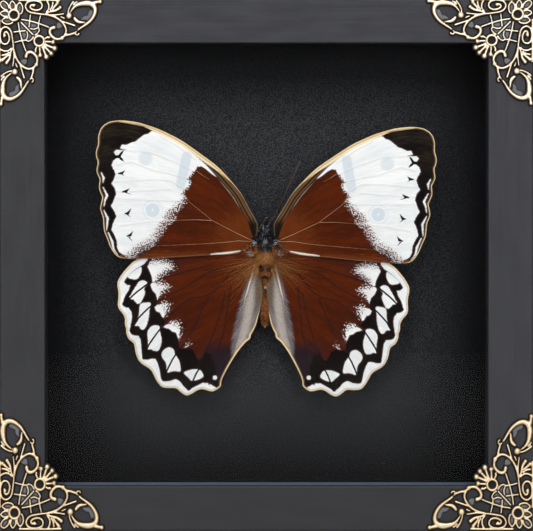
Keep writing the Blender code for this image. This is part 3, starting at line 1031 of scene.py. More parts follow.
@dataclass
class FiligreeBracket:
    """Openwork corner: half of it is drawn, and its mirror image across the diagonal joins it."""

    base: float = 0.05
    voxel: float = 0.18
    bar_sides: int = 16
    spacing: float = 0.3
    bulk: float = 1.14
    skirt: float = 0.4
    skirt_height: float = 0.62
    foot: float = 0.32
    # height of the dark discs that stand for the shadow in the ring holes
    ring_shade_height: float = 0.4
    overlap: float = 1.02
    # reach of the painted shade beside the bars, as depths
    bar_shade_span: Pair = (-0.6, -0.12)
    warm_reflection: float = 0.5

    RINGS = (((6.0, 6.0), 1.95, 1.3, 1.45), ((15.7, 15.7), 1.88, 1.2, 1.45))
    TIP_BEAD = ((20.3, 20.3), 0.95, 1.5)

    SEATS = {
        "top_left": ((-0.1, 0.75), (0.97, 1.0)),
        "top_right": ((0.2, 0.45), (1.0, 1.0)),
        "bottom_right": ((-0.1, 0.55), (0.995, 1.09)),
        "bottom_left": ((-0.25, 0.55), (0.985, 1.1)),
    }
    STROKES = (
        Stroke(((25.6, 5.5), (21.5, 6.0), (17.8, 5.8), (14.4, 5.4), (12.1, 4.9), (10.9, 3.9),
                (10.5, 2.5), (11.4, 1.2), (13.3, 0.7), (15.3, 0.9), (16.7, 1.8), (16.7, 3.3),
                (15.3, 4.2), (13.4, 4.0), (12.3, 3.2), (12.6, 2.4), (13.8, 2.2), (14.6, 2.5)),
               0.9, 1.4, 0.7, 1.0),
        Stroke(((18.1, 5.8), (20.4, 6.3), (22.6, 7.2), (24.5, 8.6), (25.8, 10.5), (26.1, 12.2),
                (25.4, 13.7), (24.5, 14.6)), 1.0, 1.3),
        Stroke(((21.5, 10.6), (20.2, 11.1), (19.8, 12.4), (20.6, 13.9), (22.1, 14.9),
                (23.6, 14.9), (24.5, 14.6)), 1.25, 1.45, 1.1, 0.8),
        Stroke(((24.5, 14.6), (25.8, 13.6), (27.5, 13.3), (29.1, 12.8), (30.3, 12.6)), 1.0),
        Stroke(((27.6, 5.2), (29.1, 3.2), (30.8, 2.1), (33.3, 1.6), (35.4, 1.75), (36.8, 2.7),
                (37.3, 4.3), (36.8, 6.2), (35.4, 8.2), (33.5, 9.7), (31.6, 10.9), (30.3, 11.9)),
               1.0, 1.55, swell=(0.6, 1.1, 1.7, 2.1, 2.0, 1.6, 1.35, 1.2, 1.0, 0.9)),
        Stroke(((36.0, 1.5), (37.4, 1.3), (39.0, 1.0)), 1.3, 1.5),
        Stroke(((30.4, 11.9), (29.6, 12.6), (30.0, 13.4), (31.0, 13.2), (31.0, 12.4)), 0.75, 1.5),
        Stroke(((29.2, 0.6), (27.9, 2.3), (27.0, 4.3), (26.9, 5.9)), 0.8, 1.1, 1.1, 0.8),
        Stroke(((30.7, 0.8), (29.5, 1.5), (28.6, 2.6)), 0.7, 1.0),
        Stroke(((29.1, 6.5), (29.6, 7.6), (31.0, 8.6), (33.6, 8.8)), 1.2, 1.25,
               swell=(0.8, 1.2, 0.9, 0.3)),
        Stroke(((23.9, 8.0), (26.0, 8.8), (28.1, 9.5), (29.9, 10.1)), 0.8, 1.2, 0.6, 1.1),
        Stroke(((23.6, 6.6), (24.7, 6.9), (25.8, 7.5)), 0.7, 1.15, 0.6, 1.0),
        Stroke(((18.1, 5.1), (19.3, 3.9), (19.4, 2.1), (18.6, 0.6)), 0.85, 1.2, 0.7, 1.0),
        Stroke(((19.8, 4.5), (20.7, 2.8), (21.1, 0.9)), 0.8, 1.1, 0.7, 1.1),
        Stroke(((20.6, 4.4), (21.6, 3.0), (22.8, 1.5)), 0.9, 1.2, 0.6, 1.5),
        Stroke(((17.9, 5.4), (20.0, 4.8), (22.1, 4.3), (23.7, 3.3)), 0.9, 1.2, 0.7, 1.5),
        Stroke(((7.4, 0.5), (13.3, 0.45), (18.4, 0.45), (24.2, 0.55)), 0.9, 1.3),
        Stroke(((4.9, 3.9), (4.5, 2.2), (5.4, 0.8), (6.5, 2.2), (6.4, 3.8)), 0.75, 1.15),
        Stroke(((7.2, 4.2), (7.1, 2.7), (8.2, 1.4), (9.3, 2.7), (9.3, 4.5), (8.6, 5.9)),
               0.75, 1.15),
        Stroke(((8.4, 7.6), (12.1, 8.2), (15.9, 9.3), (19.8, 10.7)), 0.8, 1.0),
        Stroke(((12.4, 5.5), (12.1, 8.1), (11.8, 10.9)), 0.75, 1.0),
        Stroke(((16.3, 6.0), (15.7, 8.3), (15.4, 10.5), (15.8, 11.6), (15.1, 12.8), (13.7, 13.7)),
               0.75, 1.0),
        Stroke(((11.8, 10.9), (13.6, 11.3), (15.4, 10.7)), 0.7, 1.0),
        Stroke(((17.8, 14.9), (18.9, 14.3), (20.1, 14.6)), 0.95, 1.1, 0.8, 1.1),
        Stroke(((17.6, 15.9), (20.0, 16.0), (21.0, 16.1)), 0.85, 1.1),
        Stroke(((17.4, 16.7), (19.4, 17.6), (21.6, 18.4)), 1.0, 1.15),
    )
    MIDDLE_STROKES = (
        Stroke(((4.3, 3.9), (3.6, 1.9), (1.9, 0.8), (0.8, 1.9), (1.9, 3.6), (3.9, 4.3)),
               0.75, 1.15),
        Stroke(((8.4, 8.4), (11.4, 11.4), (13.7, 13.7)), 0.75, 1.0),
        Stroke(((17.0, 17.0), (18.7, 18.7), (20.3, 20.3)), 1.0, 1.15),
    )
    BEADS = (
        ((27.2, 6.3), 1.3, 1.6), ((24.5, 14.6), 0.95, 1.5),
        ((21.0, 16.1), 0.9, 1.4), ((21.6, 18.4), 1.05, 1.5), ((39.2, 1.0), 0.9, 1.5),
        ((22.8, 1.45), 0.8, 1.4), ((23.8, 3.2), 0.8, 1.4), ((21.4, 10.65), 0.85, 1.45),
        ((13.6, 2.45), 0.75, 1.35),
    )
    FLOORS = (
        ((31.4, 8.1), (32.7, 6.5), (34.4, 6.1), (35.1, 4.0), (36.3, 4.3), (36.1, 6.4), (34.6, 8.1),
         (33.1, 8.9)),
        ((22.4, 9.5), (23.1, 8.4), (24.1, 9.0), (24.7, 10.3), (23.6, 11.1), (22.2, 10.9)),
        ((9.1, 8.5), (11.9, 8.8), (11.6, 10.9)),
        ((12.7, 9.0), (15.4, 9.6), (15.1, 10.5), (13.6, 10.9), (12.4, 10.5)),
        ((12.3, 11.3), (13.6, 11.6), (15.4, 11.3), (15.4, 12.0), (13.9, 13.2)),
        ((4.7, 3.6), (4.9, 1.8), (6.1, 1.8), (6.3, 3.6)),
        ((7.3, 4.2), (7.4, 2.4), (8.9, 2.4), (8.9, 4.6)),
        ((1.3, 2.6), (1.3, 1.3), (2.6, 1.3), (3.9, 2.6), (3.9, 3.9), (2.6, 3.9)),
    )

    def _arch(self, rise: float) -> Array:
        """Section of a bar: a flat sole under an arch that is squarer than a half circle."""
        section = circle(self.bar_sides)
        section[:, 1] = np.maximum(section[:, 1], 0.0) ** 0.8 * rise
        return section

    def _raised(self, path: Array, height: float, proud: Array, low: Array) -> Form:
        """A proud bar over a wider low sole.

        Args:
            path: their route, as (across, down).
            height: how high the bar stands.
            proud: the bar's reach at each place, as (half width, share of its height).
            low: the sole's reach in the same way.

        Returns:
            The bar and its sole.
        """
        solid = np.column_stack([path, np.full(len(path), self.base)])
        return joined([
            swept(solid, self._arch(height - self.base), proud, UPRIGHT),
            swept(solid, self._arch(self.skirt_height - self.base), low, UPRIGHT),
        ])

    def _bar(self, stroke: Stroke) -> Form:
        """A bar with its ends rounded like its sides.

        Near an end the width and height go as the square root of 1 less the square of the share
        of half a width still to go.

        Args:
            stroke: its route and sizes.

        Returns:
            The bar on its sole.
        """
        curve = smooth_path(stroke.route, steps=10)
        length = np.linalg.norm(np.diff(curve, axis=0), axis=1).sum()
        path = resample(curve, max(8, int(length / self.spacing)))
        share = np.linspace(0.0, 1.0, len(path))
        half = stroke.width * self.bulk / 2.0
        from_end = np.minimum(share, 1.0 - share) * length
        blunt = np.sqrt(np.clip(1.0 - np.clip(1.0 - from_end / half, 0.0, 1.0) ** 2, 0.02, 1.0))
        swell = stroke.swell or (stroke.start, 1.0, stroke.end)
        taper = np.interp(share, np.linspace(0.0, 1.0, len(swell)), swell)
        proud = np.stack([half * blunt * taper, blunt], axis=1)
        low = np.stack([half * blunt * taper + self.skirt * blunt, blunt], axis=1)
        return self._raised(path, stroke.height, proud, low)

    def _turned(self, middle: Pair, profile: Route, sides: int = 28) -> Form:
        """A profile turned about a middle.

        Args:
            middle: the middle, as (across, down).
            profile: its (radius, height) places.
            sides: how many flats go round.

        Returns:
            The turned form.
        """
        radius, height = np.asarray(profile, float).T
        turn = circle(sides)
        flat = np.asarray(middle) + radius[:, None, None] * turn
        level = np.broadcast_to(height[:, None, None], (*flat.shape[:2], 1))
        return skin(np.concatenate([flat, level], axis=2))

    def _bead(self, middle: Pair, radius: float, height: float) -> Form:
        """A ball on a low foot: nearly a quarter of an ellipse, turned.

        Args:
            middle: its middle, as (across, down).
            radius: the ball's size.
            height: how high it stands.

        Returns:
            The ball and its foot.
        """
        angles = np.linspace(0.0, math.pi / 2.0, 9)
        rise = self.base + (height - self.base) * np.sin(angles) ** 0.8
        profile = [(0.02, self.base), *zip(np.cos(angles) * radius + 0.01, rise)]
        foot = radius + self.foot
        low = [(0.02, self.base), (foot, self.base), (foot, 0.4), (foot * 0.8, 0.58), (0.02, 0.6)]
        return joined([self._turned(middle, profile), self._turned(middle, low)])

    def _loop(self, middle: Pair, radius: float, width: float, height: float) -> Form:
        """A round ring: a bar carried once about its middle, and on over its own start.

        Args:
            middle: its middle, as (across, down).
            radius: from the middle to the bar.
            width: the bar's width.
            height: how high it stands.

        Returns:
            The ring on its sole.
        """
        angles = np.linspace(0.0, 2.0 * math.pi * self.overlap, 90)
        path = np.asarray(middle) + radius * np.stack([np.cos(angles), np.sin(angles)], axis=1)
        reach = np.tile((width / 2.0, 1.0), (len(path), 1))
        return self._raised(path, height, reach, reach + (self.foot, 0.0))

    def _floor(self, outline: Route, height: float = 0.66) -> Form:
        """A low plate: its outline at the sole, at the top and drawn in to its middle.

        Args:
            outline: its corners, as (across, down).
            height: how high its edge stands.

        Returns:
            The plate.
        """
        ring = smooth_path(outline, closed=True, steps=6)
        middle = ring.mean(axis=0)
        layers = []
        levels = (self.base, self.base, height, height + 0.06, height + 0.1)
        for share, level in zip((0.3, 1.0, 1.0, 0.6, 0.2), levels):
            flat = middle + (ring - middle) * share
            layers.append(np.column_stack([flat, np.full(len(ring), level)]))
        return skin(np.stack(layers))

    def _casting(self) -> Form:
        """One bracket before it is fused.

        Returns:
            Its bars, rings, beads and plates, still overlapping.
        """
        half = [self._bar(stroke) for stroke in self.STROKES]
        half += [self._bead(*bead) for bead in self.BEADS]
        half += [self._floor(outline) for outline in self.FLOORS]
        other = [
            Form(form.points[:, [1, 0, 2]].copy(), list(form.faces)).outward() for form in half
        ]
        middle = [self._bar(stroke) for stroke in self.MIDDLE_STROKES]
        middle.append(self._bead(*self.TIP_BEAD))
        for spot, radius, width, height in self.RINGS:
            middle.append(self._loop(spot, radius, width, height))
            # a low dark disc filling each ring's hole: painted shadow in the hole
            corners = ((0.02, self.base), (radius, self.base), (radius, self.ring_shade_height))
            middle.append(self._turned(spot, (*corners, (0.02, self.ring_shade_height))))
        return joined(half + other + middle)

    def _fused(self) -> tuple[Array, Array, Array]:
        """The casting as one skin.

        Returns:
            Its points as (across, down, height), its normals and its faces.
        """
        mesh = self._casting().mesh("casting")
        rough = put("casting", mesh)
        fuse = rough.modifiers.new("Fuse", "REMESH")
        fuse.mode = "VOXEL"
        fuse.voxel_size = self.voxel * MM
        graph = bpy.context.evaluated_depsgraph_get()
        fused = bpy.data.meshes.new_from_object(rough.evaluated_get(graph))
        bpy.data.objects.remove(rough)
        points, normals = np.empty((2, len(fused.vertices) * 3), np.float32)
        corners = np.empty(len(fused.loops), np.int32)
        fused.vertices.foreach_get("co", points)
        fused.vertices.foreach_get("normal", normals)
        fused.loops.foreach_get("vertex_index", corners)
        bpy.data.meshes.remove(fused)
        bpy.data.meshes.remove(mesh)
        return points.reshape(-1, 3) / MM, normals.reshape(-1, 3), corners.reshape(-1, 4)

    def _nooks(self, flat: Array) -> Array:
        """How much painted shade each place gets: 1 against a bar, easing to 0 half a millimetre
        from it.

        Args:
            flat: the places, as (across, down).

        Returns:
            A share from 0 to 1 for each.
        """
        folded = np.sort(flat, axis=1)[:, ::-1]
        near = np.full(len(flat), OUTSIDE)
        for stroke in (*self.STROKES, *self.MIDDLE_STROKES):
            route = smooth_path(stroke.route, steps=3)
            near = np.maximum(near, stroke_depth(folded, route, stroke.width * self.bulk / 2.0))
        return ease(near, *self.bar_shade_span)

    def build(self) -> None:
        """Cast one bracket and set it on each corner by quarter turns."""
        points, normals, faces = self._fused()
        across, down, height = points.T.astype(float)
        tags = {
            "facing": normals[:, 2].astype(float),
            "height": height,
            "nook": self._nooks(points[:, :2].astype(float)),
        }
        brass = AntiqueBrass().material()
        for corner, (start, stretch) in self.SEATS.items():
            sideways = 1.0 if corner.endswith("right") else -1.0
            upward = 1.0 if corner.startswith("top") else -1.0
            right = sideways * (HALF - start[0] - across * stretch[0])
            up = upward * (HALF - start[1] - down * stretch[1])
            # painted reflection: warmer crests on the bottom brackets
            honeyed = 0.0 if upward > 0.0 else self.warm_reflection
            worn = {**tags, "honeyed": np.full(len(points), honeyed)}
            form = Form(place(np.stack([right, up, -height], axis=1)), [faces], worn).outward()
            make_piece(corner + "_filigree", form, brass, ["bracket_" + corner])


# ---- the wings


@dataclass
class WingPattern:
    """Edges and markings of one kind of wing, drawn for the right side in millimetres."""

    leading: Route = ()
    margin: Route = ()
    inner: Route = ()
    root: Route = ()
    rows: int = 201
    columns: int = 241

    ABSENT = {
        **dict.fromkeys(("pale_veins", "veins", "dark_veins", "grey", "silver", "crease"), OUTSIDE),
        **dict.fromkeys(("stripes", "gold", "streak"), OUTSIDE),
        **dict.fromkeys(("blue", "olive", "soot"), 0.0),
        "costa": -OUTSIDE,
    }

    def net(self) -> Array:
        """Net of places over the wing, from its four edges.

        A place is the blend of the leading and inner edges across the wing, plus the blend of
        the root and the margin along it, less the blend of the four corners.

        Returns:
            Places by row and column.
        """
        top = resample(smooth_path(self.leading), self.columns)[None]
        bottom = resample(smooth_path(self.inner), self.columns)[None]
        left = resample(smooth_path(self.root), self.rows)[:, None]
        right = resample(smooth_path(self.margin), self.rows)[:, None]
        along = np.linspace(0.0, 1.0, self.columns)[None, :, None]
        across = np.linspace(0.0, 1.0, self.rows)[:, None, None]
        ruled = (1 - across) * top + across * bottom + (1 - along) * left + along * right
        corners = (
            (1 - across) * ((1 - along) * top[:, :1] + along * top[:, -1:])
            + across * ((1 - along) * bottom[:, :1] + along * bottom[:, -1:])
        )
        return ruled - corners

    def outline(self) -> Array:
        """The wing's whole edge as one ring."""
        sides = [smooth_path(side, steps=4)[:-1] for side in (self.leading, self.margin)]
        sides += [smooth_path(side, steps=4)[::-1][:-1] for side in (self.inner, self.root)]
        return np.vstack(sides)

    def markings(self, spots: Array) -> dict[str, Array | float]:
        """How deep each spot lies in the markings that this kind of wing has."""
        raise NotImplementedError

    def relief(self, fields: dict[str, Array]) -> Array:
        """Rise of the wing towards the viewer at each spot."""
        raise NotImplementedError

    def fields(self, spots: Array) -> dict[str, Array]:
        """Every marking's depth at each spot, with those that this kind of wing lacks."""
        found = {**self.ABSENT, **self.markings(spots)}
        return {name: np.broadcast_to(value, len(spots)) for name, value in found.items()}


def deepest(
    spots: Array, paths: Sequence[Route], half_widths: Sequence[float]
) -> Array:
    """Depth inside the nearest of several strokes.

    Args:
        spots: places in the plane, one a row.
        paths: the strokes' middle lines.
        half_widths: at their start, at two fifths and at their end.

    Returns:
        A depth for each spot, positive inside.
    """
    depths = []
    for path in paths:
        share = np.linspace(0.0, 1.0, len(path))
        widths = np.interp(share, (0.0, 0.4, 1.0), half_widths)
        depths.append(stroke_depth(spots, path, widths))
    return np.max(depths, axis=0)


@dataclass
class Forewing(WingPattern):
    """Forewing: brown base, broad white field, black tip with arrowheads, gilt leading edge."""

    leading: Route = (
        (2.9, 13.0), (3.1, 15.3), (4.3, 17.8), (5.8, 20.4), (7.3, 23.2), (9.6, 27.2), (13.3, 31.7),
        (17.1, 35.8), (20.9, 39.0), (28.5, 44.5), (32.2, 46.9), (36.0, 48.9), (39.8, 50.7),
        (43.6, 52.1), (48.1, 53.4), (51.9, 54.0), (55.1, 54.2), (58.7, 53.7), (61.0, 52.5),
    )
    margin: Route = (
        (61.0, 52.5), (62.3, 50.8), (63.1, 48.2), (63.2, 45.2), (64.0, 42.5), (63.9, 40.3),
        (63.3, 38.4), (63.8, 35.3), (63.1, 33.1), (62.6, 31.9), (62.9, 28.9), (62.2, 26.6),
        (61.6, 25.1), (62.1, 22.9), (62.4, 20.6), (61.4, 17.6), (61.2, 14.9), (60.9, 12.3),
        (59.8, 9.6), (58.7, 6.6), (57.0, 3.8), (55.3, 2.5),
    )
    inner: Route = (
        (5.8, 6.4), (8.4, 5.1), (10.3, 4.0), (15.2, 3.5), (24.7, 3.1), (33.7, 2.5), (47.4, 1.9),
        (52.6, 2.0), (55.3, 2.5),
    )
    root: Route = ((2.9, 13.0), (3.6, 9.8), (5.8, 6.4))
    rows: int = 209
    columns: int = 265

    WHITE = (
        (42.4, 50.3), (38.7, 48.9), (34.1, 46.5), (29.6, 43.5), (25.8, 40.4), (22.4, 37.4),
        (19.8, 34.8), (18.1, 32.7), (20.1, 33.8), (22.8, 36.1), (24.3, 36.9), (25.8, 36.7),
        (26.4, 35.3), (27.7, 34.2), (29.2, 32.1), (28.3, 30.8), (29.0, 29.1), (30.5, 28.0),
        (31.4, 26.6), (30.6, 25.3), (31.1, 23.6), (32.4, 22.5), (33.4, 21.0), (35.1, 19.7),
        (37.0, 18.5), (37.5, 17.4), (36.0, 16.8), (34.3, 16.6), (37.1, 16.0), (38.8, 14.9),
        (40.7, 11.2), (41.5, 9.3), (43.0, 7.9), (44.7, 7.2), (47.4, 6.6), (48.9, 5.3), (50.0, 3.8),
        (51.3, 2.8), (53.4, 3.3), (55.3, 4.5), (56.0, 6.2), (56.2, 8.9), (57.2, 11.2), (58.2, 13.0),
        (57.6, 15.3), (56.3, 18.0), (57.0, 19.7), (58.4, 22.0), (57.6, 23.2), (56.4, 26.5),
        (56.9, 28.7), (58.2, 30.3), (57.4, 31.6), (56.6, 33.8), (57.0, 35.0), (58.1, 37.2),
        (57.6, 38.9), (56.2, 39.9), (54.5, 40.3), (55.3, 41.1), (56.6, 41.0), (57.2, 42.3),
        (56.4, 43.1), (52.6, 43.1), (54.9, 43.6), (54.2, 45.1), (52.3, 45.0), (50.8, 45.7),
        (49.2, 46.2), (45.8, 48.8), (44.3, 49.2), (43.3, 50.0),
    )
    FRAYED = (
        (28.5, 33.1), (28.4, 30.8), (31.4, 26.6), (31.1, 23.6), (35.1, 19.7), (37.1, 16.5),
        (40.7, 11.2), (44.7, 7.2), (50.0, 3.8),
    )
    ARROWS = (
        ((57.6, 40.2), (55.3, 40.5), (54.2, 42.1), (53.4, 43.0)),
        ((55.3, 40.4), (54.5, 39.7), (53.4, 38.6)),
        ((55.5, 34.2), (54.2, 34.3), (53.0, 35.3)), ((54.5, 34.2), (53.4, 33.3)),
        ((54.0, 27.2), (52.6, 27.5), (51.3, 28.5)), ((53.0, 27.1), (50.8, 26.3)),
        ((53.0, 19.0), (51.9, 19.2), (50.8, 20.8)), ((52.3, 18.8), (50.8, 17.5)),
        ((52.3, 10.5), (51.1, 10.8), (50.1, 12.3)), ((51.5, 10.0), (50.3, 8.6)),
    )
    MARGIN_STREAKS = (
        ((62.1, 34.6), (61.1, 32.5), (61.4, 30.8)),
        ((61.3, 28.9), (59.8, 25.9), (60.6, 24.0), (61.0, 21.7)),
        ((61.0, 20.2), (59.6, 17.2), (59.8, 14.9), (60.0, 12.7)),
        ((59.4, 11.9), (57.9, 8.5), (57.4, 5.5), (55.9, 3.6)),
    )
    VEINS = (
        ((4.1, 8.4), (10.5, 11.4), (20.1, 16.4), (28.6, 23.3), (30.2, 26.1)),
        ((4.1, 8.4), (10.1, 8.7), (15.2, 8.1), (24.2, 7.5), (36.0, 7.0), (47.1, 6.6)),
        ((20.1, 16.4), (26.6, 16.7), (34.5, 16.4)),
        ((26.6, 35.6), (23.6, 33.3), (21.2, 31.9)),
    )
    PALE_VEINS = (
        ((54.6, 43.1), (43.0, 42.0), (32.6, 37.9), (26.0, 34.5)),
        ((56.1, 37.5), (50.5, 38.6), (43.1, 35.6), (31.9, 33.0), (28.2, 31.9)),
        ((56.9, 31.1), (43.1, 31.9), (35.6, 31.5), (31.1, 28.5)),
        ((56.1, 24.8), (43.1, 24.1), (31.1, 23.7)),
        ((56.9, 27.4), (43.1, 27.8), (35.6, 28.2)),
        ((55.7, 14.2), (46.8, 15.6), (36.0, 16.5)),
        ((39.4, 48.2), (33.0, 44.4), (26.3, 39.4)),
    )
    NIGHT = (
        (30.0, 50.0), (45.0, 60.0), (70.0, 60.0), (70.0, 0.0), (55.0, 3.0), (53.0, 8.0),
        (52.0, 20.0), (50.0, 38.0), (46.0, 45.0), (42.0, 49.0), (36.0, 47.4),
    )
    COSTAL_BAND = ((3.4, 11.0), (5.0, 17.6), (8.2, 22.6), (12.2, 28.0), (17.8, 34.0), (23.4, 38.8))
    COSTAL_WIDTHS = (1.6, 2.0, 2.1, 1.9, 1.2, 0.2)
    GILT_EDGE = (
        (13.3, 31.7), (17.1, 35.8), (24.7, 41.8), (32.2, 46.9), (39.8, 50.7), (46.0, 52.8),
        (55.1, 54.2),
    )
    GILT_WIDTHS = (0.3, 1.1, 1.8, 2.0, 1.6, 0.6, 0.4)
    CREAM_STREAK = ((20.6, 3.6), (14.1, 4.1), (9.6, 4.9))
    CREAM_WIDTHS = (0.12, 0.3, 0.05)
    EYE = (42.6, 20.3)
    UPPER_SPOT = (45.3, 39.8)
    BLUE_BAR = ((29.7, 40.7), (32.0, 30.2))
    BLUE_BAR_WIDTH = 1.85
    GLOW = (5.0, 8.0)
    SOOT = (4.6, 12.4)

    def markings(self, spots: Array) -> dict[str, Array | float]:
        """How deep each spot lies in each marking.

        Args:
            spots: places as (right, up), one a row.

        Returns:
            A depth in millimetres, or a share from 0 to 1, by the marking's name.
        """
        right, up = spots.T
        white = patch_depth(spots, self.WHITE)
        streaks = deepest(spots, self.MARGIN_STREAKS, (0.15, 0.5, 0.15))
        frayed = -stroke_depth(spots, self.FRAYED)
        near, far, glow, root = (
            np.hypot(*(spots - middle).T)
            for middle in (self.EYE, self.UPPER_SPOT, self.GLOW, self.SOOT)
        )
        bar = stroke_depth(spots, self.BLUE_BAR, self.BLUE_BAR_WIDTH)
        eye = 0.9 * ease(2.7 - near, -0.25, 0.4) * (1.0 - 0.9 * ease(0.65 - near, 0.0, 0.4))
        halo = 0.45 * ease(0.35 - np.abs(near - 3.6), -0.15, 0.15)
        blue = np.max(
            [eye, halo, 0.6 * ease(2.8 - far, -0.8, 0.8), 0.75 * ease(bar, -0.3, 0.3)], axis=0
        )
        streak = stroke_depth(spots, self.CREAM_STREAK, self.CREAM_WIDTHS)
        return {
            "white": np.maximum(white, streaks),
            "fray": ease(-frayed, -4.0, -0.5) * (0.25 + 0.75 * ease(-up, -28.0, -18.0)),
            "night": patch_depth(spots, self.NIGHT),
            "marks": deepest(spots, self.ARROWS, (0.24, 0.6, 0.08)),
            "veins": deepest(spots, self.VEINS, (0.12, 0.1, 0.06)),
            "pale_veins": deepest(spots, self.PALE_VEINS, (0.15, 0.2, 0.12)),
            "blue": blue,
            "warm": np.maximum(ease(-up, -6.5, -3.0), ease(-glow, -24.0, -6.0)),
            "purple": ease(-frayed, -5.0, -0.5) * ease(-up, -16.0, -4.0) * 0.9,
            "costa": -stroke_depth(spots, smooth_path(self.leading, steps=4)),
            "gloss": ease(up, 30.0, 44.0),
            "soot": 0.92 * ease(-root, -6.0, -2.0),
            "stripes": stroke_depth(spots, self.COSTAL_BAND, self.COSTAL_WIDTHS),
            "gold": np.maximum(stroke_depth(spots, self.GILT_EDGE, self.GILT_WIDTHS), streak),
            "streak": streak,
            "rim": patch_depth(spots, self.outline()),
            "rim_width": 0.4 * np.maximum(ease(right, 50.0, 57.0), ease(up, 22.0, 34.0)) - 0.08,
        }

    def relief(self, fields: dict[str, Array]) -> Array:
        """Gentle swell inside the edge, with the veins and the leading edge standing up."""
        ridges = np.maximum(fields["veins"], fields["pale_veins"])
        swell = 0.45 * ease(fields["rim"], 0.0, 14.0)
        return swell + 0.14 * ease(ridges, -0.5, 0.25) + 0.2 * ease(-fields["costa"], -1.6, -0.2)


